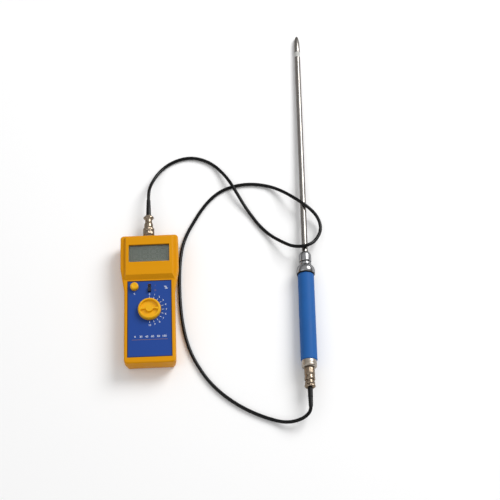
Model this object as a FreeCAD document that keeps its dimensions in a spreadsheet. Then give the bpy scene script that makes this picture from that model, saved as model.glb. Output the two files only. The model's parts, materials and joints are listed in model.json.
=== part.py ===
"""Handheld grain moisture meter: a meter case, a steel probe with a handle, and the signal cord between them.

Millimetres, +Z up.  The origin is the centre of the meter's flat back, which lies on the table (z = 0).
+Y runs along the meter towards its display end and +X is to the right of the dial.
Each sub-part is one object of this document, and its Label is the name of its node.
"""
import FreeCAD, Part
import Sketcher
import math
import os
import re

Vector = FreeCAD.Vector

# ---------------------------------------------------------------------------------------------------------
# Driving dimensions: alias, value, meaning
# ---------------------------------------------------------------------------------------------------------

DIMENSIONS = [
    # meter case
    ("case_half_length", 80.0, "half the length of the case at its parting line"),
    ("grip_half_width", 29.2, "half the width of the grip"),
    ("head_half_width", 33.7, "half the width of the display head"),
    ("shoulder_low", 9.0, "Y where the grip starts to widen"),
    ("shoulder_high", 37.0, "Y where the head has its full width"),
    ("parting_level", 13.0, "Z where the two covers meet"),
    ("deck_level", 24.0, "Z of the rim round the front label"),
    ("head_level", 28.0, "Z of the raised face round the display"),
    ("wall", 2.2, "thickness of the case walls"),
    ("grip_taper", 1.4, "how far each side of the grip leans in towards the back"),
    ("head_taper", 4.4, "how far each side of the head leans in towards the back"),
    ("near_taper", 2.0, "how far the near end leans in towards the back"),
    ("far_taper", 1.0, "how far the socket end leans in towards the back"),
    ("near_corner", 4.6, "radius of the two corners of the grip"),
    ("far_corner", 4.0, "radius of the two corners of the head"),
    ("shoulder_round", 26.0, "radius that softens the shoulders"),
    ("rim_round", 1.8, "radius of the deck's outer edge"),
    ("back_round", 2.0, "radius of the back's outer edge"),
    ("fit", 0.1, "clearance between parts that fit together"),
    # raised head
    ("raised_half_width", 27.0, "half the width of the raised face"),
    ("raised_inset", 0.9, "from the raised face's sides to the cavity under it"),
    ("raised_low", 27.4, "lower edge of the raised face"),
    ("raised_high", 75.4, "upper edge of the raised face"),
    ("side_bevel", 2.5, "width of the bevels at the sides of the raised face"),
    ("ledge_bevel", 5.0, "width of the sloped ledge below the display"),
    ("far_bevel", 2.0, "width of the bevel above the display"),
    ("raised_round", 0.7, "radius of the raised face's edges"),
    # display
    ("window_half_width", 23.6, "half the width of the display opening"),
    ("window_low", 43.7, "lower edge of the display opening"),
    ("window_high", 66.0, "upper edge of the display opening"),
    ("lens_overlap", 1.3, "how far the lens reaches past the opening"),
    ("lens_thickness", 1.2, "display window"),
    ("display_thickness", 2.6, "liquid crystal glass"),
    ("display_overlap", 1.3, "how far the display glass reaches past the opening"),
    ("frame_wall", 1.0, "wall of the display frame"),
    ("strip_width", 2.4, "contact strips between the display glass and the board"),
    # front label
    ("label_half_width", 25.5, "half the width of the front label"),
    ("label_low", -73.3, "lower edge of the label"),
    ("label_high", 21.0, "upper edge of the label"),
    ("label_recess", 0.8, "depth of the recess in the deck"),
    ("label_thickness", 0.4, "polycarbonate overlay"),
    # dial
    ("dial_y", -15.6, "Y of the dial's axis"),
    ("knob_radius", 13.3, "knob at its base"),
    ("knob_top_radius", 12.6, "knob at its rim"),
    ("knob_height", 5.2, "knob above its base"),
    ("knob_rim", 2.5, "width of the knob's rim"),
    ("knob_recess", 2.9, "depth of the knob's two hollows"),
    ("hub_radius", 4.5, "knob's hub"),
    ("bar_half_width", 1.15, "half the width of the knob's grip bar"),
    ("shaft_radius", 3.0, "potentiometer shaft"),
    ("pot_half_width", 4.9, "half the width of the potentiometer's casing"),
    ("pot_half_length", 5.7, "half the length of the potentiometer's casing"),
    ("pot_height", 6.4, "potentiometer's casing"),
    ("bushing_wall", 0.45, "potentiometer's bushing"),
    ("bushing_height", 9.2, "potentiometer's bushing, from the casing's foot"),
    # zero button
    ("zero_x", -17.2, "X of the zero button"),
    ("zero_y", 13.4, "Y of the zero button"),
    ("zero_radius", 4.75, "button above the deck"),
    ("zero_height", 4.4, "button above the deck"),
    ("zero_flange", 5.8, "radius of the flange under the deck"),
    ("flange_thickness", 1.6, "flange under the deck"),
    ("plunger_radius", 1.7, "plunger of the zero switch"),
    ("tact_half_width", 3.0, "half the width of the zero switch"),
    ("tact_height", 3.5, "zero switch"),
    # power switch
    ("slot_half_width", 1.85, "half the width of the switch slot"),
    ("slot_low", 6.4, "lower end of the switch slot"),
    ("slot_high", 16.8, "upper end of the switch slot"),
    ("lever_half_width", 1.6, "half the width of the switch lever"),
    ("lever_length", 4.8, "switch lever along the slot"),
    ("lever_rise", 2.4, "switch lever above the deck"),
    ("carriage_half_width", 2.2, "half the width of the switch's carriage"),
    ("carriage_reach", 0.6, "how far the carriage passes the lever at each end"),
    ("switch_half_width", 3.0, "half the width of the power switch"),
    ("switch_height", 5.2, "power switch above the board"),
    # circuit board
    ("board_half_width", 25.0, "half the width of the circuit board"),
    ("board_low", -25.0, "lower edge of the circuit board"),
    ("board_high", 69.3, "upper edge of the circuit board"),
    ("board_level", 12.4, "underside of the circuit board"),
    ("board_thickness", 1.6, "circuit board"),
    ("post_x", 22.5, "X of the board's four posts"),
    ("post_low", -19.5, "Y of the lower posts"),
    ("post_high", 34.0, "Y of the upper posts"),
    ("post_radius", 2.3, "posts that carry the board"),
    ("board_screw_radius", 0.9, "shank of a board screw"),
    ("board_screw_length", 6.0, "shank of a board screw"),
    ("board_screw_head_radius", 1.9, "head of a board screw"),
    ("board_screw_head_height", 1.3, "head of a board screw"),
    # battery and its door
    ("battery_half_width", 13.25, "nine volt battery"),
    ("battery_length", 46.2, "battery without its terminals"),
    ("battery_thickness", 17.5, "nine volt battery"),
    ("battery_low", -75.6, "Y of the battery's end"),
    ("battery_level", 3.2, "underside of the battery"),
    ("battery_corner", 2.0, "radius of the battery's long edges"),
    ("terminal_x", 6.35, "X of the battery's terminals"),
    ("terminal_radius", 2.9, "battery terminal"),
    ("terminal_height", 2.2, "battery terminal"),
    ("snap_thickness", 3.9, "connector on the battery"),
    ("snap_half_height", 6.2, "half the height of the connector on the battery"),
    ("lead_x", 9.0, "X of the battery's two leads"),
    ("lead_radius", 0.6, "battery lead"),
    ("lead_length", 7.5, "battery lead"),
    ("door_half_width", 15.0, "half the width of the battery door"),
    ("door_tongue", 1.0, "width of the tongues that run in the cover"),
    ("door_inner_end", -22.2, "Y of the door's inner end"),
    ("door_thickness", 2.0, "battery door"),
    ("ridge_start", 9.0, "first finger ridge, from the case's end"),
    ("ridge_pitch", 2.4, "finger ridges"),
    ("ridge_width", 1.2, "finger ridge"),
    ("ridge_depth", 0.5, "finger ridge"),
    # case screws
    ("near_screw_x", 20.0, "X of the two lower case screws"),
    ("near_screw_y", -71.5, "Y of the two lower case screws"),
    ("far_screw_x", 24.0, "X of the two upper case screws"),
    ("far_screw_y", 73.6, "Y of the two upper case screws"),
    ("boss_radius", 3.6, "screw bosses of the rear cover"),
    ("screw_radius", 1.4, "shank of a case screw"),
    ("screw_head_radius", 2.4, "head of a case screw"),
    ("screw_recess", 2.6, "depth of the screw recesses"),
    ("screw_head_height", 1.7, "head of a case screw"),
    ("screw_length", 14.0, "shank of a case screw"),
    ("screw_slot", 0.7, "width and depth of the slot in a case screw"),
    # bayonet connectors
    ("socket_x", -1.2, "X of the meter's socket"),
    ("socket_level", 14.0, "Z of the meter's socket"),
    ("jack_end", 11.0, "open end of a socket, from the face that it is mounted on"),
    ("meter_shoulder", 12.4, "front of the meter's plug body"),
    ("probe_shoulder", 14.2, "front of the probe's plug body"),
    ("meter_nut_front", 3.5, "front of the meter's coupling nut"),
    ("probe_nut_front", 0.4, "front of the probe's coupling nut"),
    ("meter_plug_back", 30.0, "back of the meter's plug"),
    ("lug_pin_radius", 0.9, "bayonet lug"),
    ("lug_setback", 3.4, "bayonet lugs, from the socket's open end"),
    ("channel_half", 1.1, "half the width of the channel and slots that take the lugs"),
    ("panel_nut_half", 6.0, "half the width of the hexagon nut across its flats"),
    ("panel_nut_height", 2.9, "hexagon nut"),
    ("shank_radius", 4.75, "threaded shank of a socket"),
    ("jack_radius", 4.8, "outside of a socket"),
    ("jack_bore", 4.05, "bore of a socket"),
    ("dielectric_radius", 2.3, "white insulator inside a socket"),
    ("contact_radius", 0.9, "socket contact"),
    ("pin_radius", 0.45, "plug pin"),
    ("lug_radius", 5.5, "reach of the two bayonet lugs"),
    ("boot_length", 22.0, "strain relief on the cord"),
    ("boot_radius", 3.0, "strain relief at the plug"),
    ("boot_end_radius", 2.5, "strain relief at its free end"),
    ("boot_grip", 2.0, "how far the cord goes into the strain relief"),
    ("probe_plug_back", 23.6, "back of the probe's plug, from the end collar"),
    ("cord_radius", 2.0, "signal cord"),
    # probe, measured along its axis from the middle of the meter
    ("probe_x", 181.0, "X of the probe's axis beside the meter's middle"),
    ("probe_lean", 1.75, "degrees that the probe leans to the right"),
    ("dome_station", 27.4, "base of the dome nut, the thickest part of the probe"),
    ("dome_radius", 10.8, "base of the dome nut"),
    ("dome_length", 10.6, "dome nut"),
    ("sleeve_radius", 9.5, "blue grip sleeve"),
    ("sleeve_low", -82.0, "cord end of the grip sleeve"),
    ("sleeve_high", 26.0, "rod end of the grip sleeve"),
    ("tube_radius", 8.0, "handle tube"),
    ("tube_bore", 6.4, "bore of the handle tube"),
    ("collar_radius", 8.6, "end collar"),
    ("collar_low", -90.3, "cord end of the collar"),
    ("gland_flange_radius", 6.75, "ring above the dome nut"),
    ("gland_flange_high", 42.3, "upper side of that ring"),
    ("gland_nut_low", 43.0, "base of the gland nut"),
    ("gland_nut_high", 55.6, "top of the gland nut"),
    ("gland_nut_radius", 7.15, "gland nut"),
    ("gland_radius", 4.85, "threaded stem of the gland"),
    ("rod_radius", 3.5, "steel probe tube"),
    ("rod_bore", 2.5, "bore of the probe tube"),
    ("core_radius", 1.2, "inner conductor"),
    ("rod_low", 8.0, "end of the probe tube inside the handle"),
    ("rod_high", 340.5, "end of the probe tube at the insulating ring"),
    ("ring_high", 347.7, "end of the insulating ring"),
    ("tip_station", 374.4, "point of the probe"),
    ("tip_taper", 17.0, "length over which the tip narrows to its point"),
]
ALIASES = {alias for alias, _, _ in DIMENSIONS}
RIDGES = 6
TIP_STEPS = 9

# The cord lies on the table in one loose S.  It goes over the probe rod, round a bend and back over the rod,
# then under itself, past the meter's right side and round to the probe's handle.
CORD_ROUTE = [
    (-1.2, 130.0, 14.0), (-1.2, 141.0, 14.0), (0.4, 152.0, 11.2), (4.6, 164.0, 7.0), (11.4, 176.5, 3.8),
    (21.4, 187.2, 2.0), (35.3, 194.3, 2.0), (50.9, 196.9, 2.0), (66.2, 192.9, 2.0), (79.0, 184.6, 2.0),
    (88.6, 172.5, 5.5), (96.7, 158.0, 10.0), (105.2, 140.8, 10.0), (113.4, 125.6, 5.5), (121.3, 113.3, 2.0),
    (130.5, 98.6, 2.0), (142.0, 85.0, 3.0), (155.5, 73.0, 9.0), (171.0, 61.5, 19.6), (190.5, 64.5, 19.6),
    (200.5, 77.5, 10.5), (204.6, 90.5, 6.0), (201.0, 104.5, 9.0), (190.5, 112.6, 18.2),
    (175.8, 124.8, 18.2), (161.6, 140.8, 8.0), (146.5, 151.5, 2.5), (129.6, 155.6, 2.0),
    (114.9, 156.1, 2.0), (100.1, 153.5, 2.0), (85.2, 147.4, 2.0), (72.1, 136.1, 2.0), (61.4, 122.1, 2.0),
    (52.6, 107.0, 2.0), (44.4, 92.1, 2.0), (38.0, 75.0, 2.0), (35.0, 55.2, 2.0), (33.8, 34.3, 2.0),
    (33.7, 13.6, 2.0), (34.5, -6.9, 2.0), (36.4, -25.8, 2.0), (39.8, -44.6, 2.0), (45.3, -62.7, 2.0),
    (54.0, -80.7, 2.0), (66.0, -99.2, 2.0), (82.3, -115.9, 2.0), (101.0, -129.8, 2.0), (121.0, -140.3, 2.0),
    (136.6, -146.8, 2.6), (148.1, -150.6, 5.4), (158.8, -152.9, 8.6), (167.2, -151.5, 11.6),
    (173.3, -147.2, 13.8), (176.7, -140.8, 14.62),
]

# ---------------------------------------------------------------------------------------------------------
# Document helpers
# ---------------------------------------------------------------------------------------------------------

doc = FreeCAD.newDocument("GrainMoistureMeter")
sheet = doc.addObject("Spreadsheet::Sheet", "Sizes")
for row, (alias, size, meaning) in enumerate(DIMENSIONS, start=1):
    sheet.set(f"A{row}", meaning)
    sheet.set(f"B{row}", str(size))
    sheet.setAlias(f"B{row}", alias)
doc.recompute()

sub_parts = []


def value(formula):
    """The number that a formula of sheet aliases gives."""
    return float(sheet.evalExpression(str(formula)))


def bind(owner, prop, formula):
    """Bind a property to a formula of sheet aliases."""
    def alias_path(word):
        name = word.group(0)
        return "Sizes." + name if name in ALIASES else name

    owner.setExpression(prop, re.sub(r"[a-z][a-z_0-9]*", alias_path, str(formula)))


def keep(shape_object, label):
    """Make an object a sub-part under its node's name."""
    shape_object.Label = label
    sub_parts.append(shape_object)
    return shape_object


def new_body(label):
    return keep(doc.addObject("PartDesign::Body", label), label)


def new_sketch(body, role, level="0"):
    """A sketch on one of the body's own origin planes, moved along its normal."""
    sketch = body.newObject("Sketcher::SketchObject", body.Name + "_sketch")
    plane = next(item for item in body.Origin.OriginFeatures if item.Role == role)
    sketch.AttachmentSupport = [(plane, "")]
    sketch.MapMode = "FlatFace"
    bind(sketch, "AttachmentOffset.Base.z", level)
    return sketch


def pin_point(sketch, edge, point, x_formula, y_formula):
    """Hold a sketch point at its two formulas."""
    for kind, formula, axis in (("DistanceX", x_formula, -2), ("DistanceY", y_formula, -1)):
        distance = value(formula)
        if abs(distance) < 1e-9:
            sketch.addConstraint(Sketcher.Constraint("PointOnObject", edge, point, axis))
        else:
            constraint = sketch.addConstraint(Sketcher.Constraint(kind, -1, 1, edge, point, distance))
            bind(sketch, f"Constraints[{constraint}]", formula)


def add_outline(sketch, corners):
    """Straight edges through the corners, closed."""
    first = sketch.GeometryCount
    count = len(corners)
    places = [Vector(value(x), value(y), 0) for x, y in corners]
    for number in range(count):
        sketch.addGeometry(Part.LineSegment(places[number], places[(number + 1) % count]))
    for number in range(count):
        following = first + (number + 1) % count
        sketch.addConstraint(Sketcher.Constraint("Coincident", first + number, 2, following, 1))
    for number, (x, y) in enumerate(corners):
        pin_point(sketch, first + number, 1, x, y)


def add_rectangle(sketch, x_low, x_high, y_low, y_high):
    add_outline(sketch, [(x_low, y_low), (x_high, y_low), (x_high, y_high), (x_low, y_high)])


def add_circle(sketch, x, y, radius):
    centre = Vector(value(x), value(y), 0)
    edge = sketch.addGeometry(Part.Circle(centre, Vector(0, 0, 1), value(radius)))
    constraint = sketch.addConstraint(Sketcher.Constraint("Radius", edge, value(radius)))
    bind(sketch, f"Constraints[{constraint}]", radius)
    pin_point(sketch, edge, 3, x, y)


def pad(body, sketch, length):
    feature = body.newObject("PartDesign::Pad", body.Name + "_pad")
    feature.Profile = sketch
    bind(feature, "Length", length)
    return feature


def pocket(body, sketch, depth, along_normal=False):
    """Cut a sketch into the body: against the sketch's normal, or along it."""
    doc.recompute()
    before = body.Shape.Volume
    feature = body.newObject("PartDesign::Pocket", body.Name + "_pocket")
    feature.Profile = sketch
    feature.Reversed = along_normal
    bind(feature, "Length", depth)
    doc.recompute()
    if body.Shape.Volume > before - 1e-3:
        raise RuntimeError(f"{feature.Label} removes nothing")
    return feature


def loft(body, kind, sketches):
    feature = body.newObject("PartDesign::" + kind, body.Name + "_loft")
    feature.Profile = sketches[0]
    feature.Sections = sketches[1:]
    feature.Ruled = True
    return feature


def fillet(body, radius, chosen):
    """Round those edges of the body that the test chooses."""
    doc.recompute()
    edges = [f"Edge{n}" for n, edge in enumerate(body.Shape.Edges, start=1) if chosen(edge)]
    feature = body.newObject("PartDesign::Fillet", body.Name + "_fillet")
    feature.Base = (body.Tip if body.Tip is not feature else feature.BaseFeature, edges)
    bind(feature, "Radius", radius)
    doc.recompute()
    return feature


def plate(label, low, high, level, thickness):
    """A rectangular plate between two corners, with its underside at a level."""
    body = new_body(label)
    sketch = new_sketch(body, "XY_Plane", level)
    add_rectangle(sketch, low[0], high[0], low[1], high[1])
    pad(body, sketch, thickness)
    return body


def turned(label, profile):
    """A turned piece: its profile, as radius and height, goes once round Z."""
    body = new_body(label)
    sketch = new_sketch(body, "XZ_Plane")
    add_outline(sketch, profile)
    feature = body.newObject("PartDesign::Revolution", body.Name + "_revolution")
    feature.Profile = sketch
    feature.ReferenceAxis = (sketch, ["V_Axis"])
    feature.Angle = 360.0
    return body


def tube(label, outer, bore, low, high):
    return turned(label, [(bore, low), (outer, low), (outer, high), (bore, high)])


def rod(label, radius, low, high):
    return turned(label, [("0", low), (radius, low), (radius, high), ("0", high)])


def cylinder(name, radius, height, x, y, z):
    """A plain upright cylinder, bound to the sheet."""
    shape = doc.addObject("Part::Cylinder", name)
    bind(shape, "Radius", radius)
    bind(shape, "Height", height)
    for prop, formula in (("x", x), ("y", y), ("z", z)):
        bind(shape, "Placement.Base." + prop, formula)
    return shape


def block(name, low, high):
    """A plain box between two corners, bound to the sheet."""
    shape = doc.addObject("Part::Box", name)
    for side, axis, start, end in zip(("Length", "Width", "Height"), "xyz", low, high):
        bind(shape, side, f"({end}) - ({start})")
        bind(shape, "Placement.Base." + axis, start)
    return shape


def group(label, shapes):
    """Separate solids that share one node."""
    compound = doc.addObject("Part::Compound", label)
    compound.Links = shapes
    return keep(compound, label)


def cut(label, base, tools):
    """A base with every tool taken out of it."""
    tool = tools[0]
    if len(tools) > 1:
        tool = doc.addObject("Part::MultiFuse", label + "_tools")
        tool.Shapes = tools
    result = doc.addObject("Part::Cut", label)
    result.Base = base
    result.Tool = tool
    return keep(result, label)


def place(pieces, origin, direction):
    """Stand turned pieces on an origin, with their Z along a direction."""
    placement = FreeCAD.Placement(origin, FreeCAD.Rotation(Vector(0, 0, 1), direction))
    for piece in pieces:
        piece.Placement = placement


def is_upright(edge):
    """A straight edge that climbs more than it runs sideways."""
    start, end = edge.Vertexes[0].Point, edge.Vertexes[-1].Point
    rise = abs(start.z - end.z)
    return rise > 5.0 and rise > 0.8 * edge.Length


def lies_at(edge, level):
    box = edge.BoundBox
    return abs(box.ZMin - level) < 1e-3 and abs(box.ZMax - level) < 1e-3


# ---------------------------------------------------------------------------------------------------------
# Meter case
# ---------------------------------------------------------------------------------------------------------

def case_outline(grip_inset, head_inset, near_inset, far_inset):
    """The case seen from the front, drawn in by an inset at each pair of sides and one at each end."""
    grip = f"grip_half_width - ({grip_inset})"
    head = f"head_half_width - ({head_inset})"
    near = f"-case_half_length + ({near_inset})"
    far = f"case_half_length - ({far_inset})"
    right = [(grip, near), (grip, "shoulder_low"), (head, "shoulder_high"), (head, far)]
    left = [(f"-({x})", y) for x, y in reversed(right)]
    return right + left


def round_case_corners(body):
    """Round the upright edges: near corners, far corners, then the shoulders."""
    near, far = value("near_corner"), value("far_corner")
    fillet(body, "near_corner", lambda edge: is_upright(edge) and edge.CenterOfMass.y < -near)
    fillet(body, "far_corner", lambda edge: is_upright(edge) and edge.CenterOfMass.y > 60 + far)
    fillet(body, "shoulder_round", lambda edge: is_upright(edge) and 0 < edge.CenterOfMass.y < 60)


def screw_places():
    return [(f"{side}{x}", y)
            for x, y in (("near_screw_x", "near_screw_y"), ("far_screw_x", "far_screw_y"))
            for side in ("", "-")]


def post_places():
    return [(f"{side}post_x", y) for y in ("post_low", "post_high") for side in ("", "-")]


def add_circles(sketch, places, radius):
    for x, y in places:
        add_circle(sketch, x, y, radius)


def make_front_cover():
    body = new_body("front_cover")
    outline = new_sketch(body, "XY_Plane", "parting_level")
    add_outline(outline, case_outline("0", "0", "0", "0"))
    pad(body, outline, "deck_level - parting_level")
    round_case_corners(body)
    fillet(body, "rim_round", lambda edge: lies_at(edge, value("deck_level")))

    foot = new_sketch(body, "XY_Plane", "deck_level")
    add_rectangle(foot, "-raised_half_width - side_bevel", "raised_half_width + side_bevel",
                  "raised_low - ledge_bevel", "raised_high + far_bevel")
    face = new_sketch(body, "XY_Plane", "head_level")
    add_rectangle(face, "-raised_half_width", "raised_half_width", "raised_low", "raised_high")
    loft(body, "AdditiveLoft", [foot, face])
    fillet(body, "raised_round", lambda edge: edge.BoundBox.ZMax > value("head_level") - 1e-3)

    cavity = new_sketch(body, "XY_Plane", "parting_level")
    add_outline(cavity, case_outline("wall", "wall", "wall", "wall"))
    pocket(body, cavity, "deck_level - wall - parting_level", along_normal=True)
    head_cavity = new_sketch(body, "XY_Plane", "parting_level")
    add_rectangle(head_cavity, "-raised_half_width + raised_inset", "raised_half_width - raised_inset",
                  "raised_low + wall", "raised_high - wall")
    pocket(body, head_cavity, "head_level - wall - parting_level", along_normal=True)

    bosses = new_sketch(body, "XY_Plane", "parting_level")
    add_circles(bosses, screw_places(), "boss_radius - 0.6")
    pad(body, bosses, "deck_level - wall / 2 - parting_level")
    for y, ceiling in (("post_low", "deck_level"), ("post_high", "head_level")):
        posts = new_sketch(body, "XY_Plane", "board_level + board_thickness")
        add_circles(posts, [("post_x", y), ("-post_x", y)], "post_radius")
        pad(body, posts, f"{ceiling} - wall / 2 - board_level - board_thickness")
    boss_holes = new_sketch(body, "XY_Plane", "parting_level")
    add_circles(boss_holes, screw_places(), "screw_radius + fit / 2")
    pocket(body, boss_holes, "5", along_normal=True)
    post_holes = new_sketch(body, "XY_Plane", "board_level + board_thickness")
    add_circles(post_holes, post_places(), "board_screw_radius + fit / 2")
    pocket(body, post_holes, "5", along_normal=True)

    opening = new_sketch(body, "XY_Plane", "head_level + 1")
    add_rectangle(opening, "-window_half_width", "window_half_width", "window_low", "window_high")
    pocket(body, opening, "wall + 2")
    recess = new_sketch(body, "XY_Plane", "deck_level + 0.5")
    add_rectangle(recess, "-label_half_width", "label_half_width", "label_low", "label_high")
    pocket(body, recess, "label_recess + 0.5")
    openings = new_sketch(body, "XY_Plane", "deck_level")
    add_circle(openings, "0", "dial_y", "shaft_radius + 0.6")
    add_circle(openings, "zero_x", "zero_y", "zero_radius + 0.2")
    add_rectangle(openings, "-slot_half_width", "slot_half_width", "slot_low", "slot_high")
    pocket(body, openings, "wall + 1")
    socket_hole = new_sketch(body, "XZ_Plane")
    add_circle(socket_hole, "socket_x", "socket_level", "shank_radius + fit")
    pocket(body, socket_hole, "case_half_length + 10")


def make_rear_cover():
    body = new_body("rear_cover")
    rim = new_sketch(body, "XY_Plane", "parting_level")
    add_outline(rim, case_outline("0", "0", "0", "0"))
    back = new_sketch(body, "XY_Plane")
    add_outline(back, case_outline("grip_taper", "head_taper", "near_taper", "far_taper"))
    loft(body, "AdditiveLoft", [rim, back])
    round_case_corners(body)
    fillet(body, "back_round", lambda edge: lies_at(edge, 0.0))

    # the cavity follows the taper down to the floor
    share = "(1 - wall / parting_level)"
    cavity_rim = new_sketch(body, "XY_Plane", "parting_level")
    add_outline(cavity_rim, case_outline("wall", "wall", "wall", "wall"))
    cavity_floor = new_sketch(body, "XY_Plane", "wall")
    add_outline(cavity_floor, case_outline(*[f"wall + {taper} * {share}" for taper in
                                             ("grip_taper", "head_taper", "near_taper", "far_taper")]))
    loft(body, "SubtractiveLoft", [cavity_rim, cavity_floor])

    # bosses for the case screws, rails over the door's tongues, and the wall that closes the battery bay
    bosses = new_sketch(body, "XY_Plane", "wall / 2")
    add_circles(bosses, screw_places(), "boss_radius")
    pad(body, bosses, "parting_level - wall / 2")
    rail_x = ("door_half_width - 0.4", "door_half_width + door_tongue + 1.6")
    rails = new_sketch(body, "XY_Plane", "wall / 2")
    add_rectangle(rails, rail_x[0], rail_x[1], "-case_half_length + 4", "door_inner_end")
    add_rectangle(rails, f"-({rail_x[1]})", f"-({rail_x[0]})", "-case_half_length + 4", "door_inner_end")
    pad(body, rails, "wall / 2 + 1.1")
    bay_wall = new_sketch(body, "XY_Plane", "wall / 2")
    add_rectangle(bay_wall, "-door_half_width - 3", "door_half_width + 3", "door_inner_end + 0.8",
                  "door_inner_end + 2")
    pad(body, bay_wall, "board_level - 0.8 - wall / 2")

    # the door's way: its T section slides out through a low notch in the near end
    slide_way = new_sketch(body, "XZ_Plane", "-door_inner_end - 0.2")
    half = "door_half_width + fit"
    wide = "door_half_width + door_tongue + fit"
    right = [(half, "-1"), (half, "door_thickness - 0.9"), (wide, "door_thickness - 0.9"),
             (wide, "door_thickness + fit")]
    add_outline(slide_way, right + [(f"-({x})", z) for x, z in reversed(right)])
    pocket(body, slide_way, "case_half_length", along_normal=True)
    bay = new_sketch(body, "XY_Plane", "door_thickness")
    add_rectangle(bay, "-door_half_width + 0.4", "door_half_width - 0.4", "-case_half_length + 4",
                  "door_inner_end")
    pocket(body, bay, "4", along_normal=True)

    shanks = new_sketch(body, "XY_Plane")
    add_circles(shanks, screw_places(), "screw_radius + fit")
    pocket(body, shanks, "parting_level", along_normal=True)
    recesses = new_sketch(body, "XY_Plane")
    add_circles(recesses, screw_places(), "screw_head_radius + fit")
    pocket(body, recesses, "screw_recess", along_normal=True)
    socket_hole = new_sketch(body, "XZ_Plane", "-60")
    add_circle(socket_hole, "socket_x", "socket_level", "shank_radius + fit")
    pocket(body, socket_hole, "40")


def make_battery_door():
    """A flat door whose side tongues run in the rear cover, with finger ridges near its end."""
    body = new_body("battery_door")
    section = new_sketch(body, "XZ_Plane", "-door_inner_end")
    right = [("door_half_width", "0"), ("door_half_width", "door_thickness - 0.8"),
             ("door_half_width + door_tongue", "door_thickness - 0.8"),
             ("door_half_width + door_tongue", "door_thickness")]
    add_outline(section, right + [(f"-({x})", z) for x, z in reversed(right)])
    pad(body, section, "case_half_length - near_taper + door_inner_end")
    end = -value("case_half_length - near_taper")
    fillet(body, "door_thickness * 0.8",
           lambda edge: lies_at(edge, 0.0) and abs(edge.BoundBox.YMax - end) < 1e-3)
    ridges = new_sketch(body, "XY_Plane")
    for number in range(RIDGES):
        start = f"-case_half_length + ridge_start + ridge_pitch * {number}"
        add_rectangle(ridges, "-door_half_width + 5", "door_half_width - 5", start, f"{start} + ridge_width")
    pocket(body, ridges, "ridge_depth", along_normal=True)


def make_case_screws():
    screws = []
    for number, (x, y) in enumerate(screw_places()):
        crown = "screw_recess - screw_head_height"
        head = cylinder(f"case_screw_head_{number}", "screw_head_radius", "screw_head_height", x, y, crown)
        shank = cylinder(f"case_screw_shank_{number}", "screw_radius", "screw_length", x, y,
                         "screw_recess - fit")
        slot = block(f"case_screw_slot_{number}", (f"{x} - 3", f"{y} - screw_slot / 2", f"{crown} - fit"),
                     (f"{x} + 3", f"{y} + screw_slot / 2", f"{crown} - fit + screw_slot"))
        whole = doc.addObject("Part::MultiFuse", f"case_screw_blank_{number}")
        whole.Shapes = [head, shank]
        screw = doc.addObject("Part::Cut", f"case_screw_{number}")
        screw.Base = whole
        screw.Tool = slot
        screws.append(screw)
    group("case_screws", screws)


def make_front_label():
    body = plate("front_label", ("-label_half_width + fit", "label_low + fit"),
                 ("label_half_width - fit", "label_high - fit"), "deck_level - label_recess",
                 "label_thickness")
    openings = new_sketch(body, "XY_Plane", "deck_level")
    add_circle(openings, "0", "dial_y", "shaft_radius + 0.8")
    add_circle(openings, "zero_x", "zero_y", "zero_radius + 0.2")
    add_rectangle(openings, "-slot_half_width", "slot_half_width", "slot_low", "slot_high")
    pocket(body, openings, "2")


# ---------------------------------------------------------------------------------------------------------
# Display
# ---------------------------------------------------------------------------------------------------------

def grown(margin):
    """The display opening's corners, moved outwards by a margin."""
    return ((f"-window_half_width - ({margin})", f"window_low - ({margin})"),
            (f"window_half_width + ({margin})", f"window_high + ({margin})"))


def make_display():
    lens_level = "head_level - wall - fit / 2 - lens_thickness"
    glass_level = f"{lens_level} - 0.3 - display_thickness"
    plate("display_window", *grown("lens_overlap"), lens_level, "lens_thickness")
    plate("display_glass", *grown("display_overlap"), glass_level, "display_thickness")

    board_top = "board_level + board_thickness"
    frame = plate("display_frame", *grown("display_overlap + fit + frame_wall"), board_top,
                  f"{lens_level} - fit - ({board_top})")
    inner = new_sketch(frame, "XY_Plane", board_top)
    low, high = grown("display_overlap + fit")
    add_rectangle(inner, low[0], high[0], low[1], high[1])
    pocket(frame, inner, "20", along_normal=True)

    strips = []
    reach = "(display_overlap - 2 * fit)"
    starts = {"lower": f"window_low - {reach}", "upper": f"window_high + {reach} - strip_width"}
    for name, start in starts.items():
        strips.append(block(f"contact_strip_{name}", ("-window_half_width + 1", start, board_top),
                            ("window_half_width - 1", f"{start} + strip_width", glass_level)))
    group("display_contact_strips", strips)


# ---------------------------------------------------------------------------------------------------------
# Controls on the front
# ---------------------------------------------------------------------------------------------------------

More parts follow.
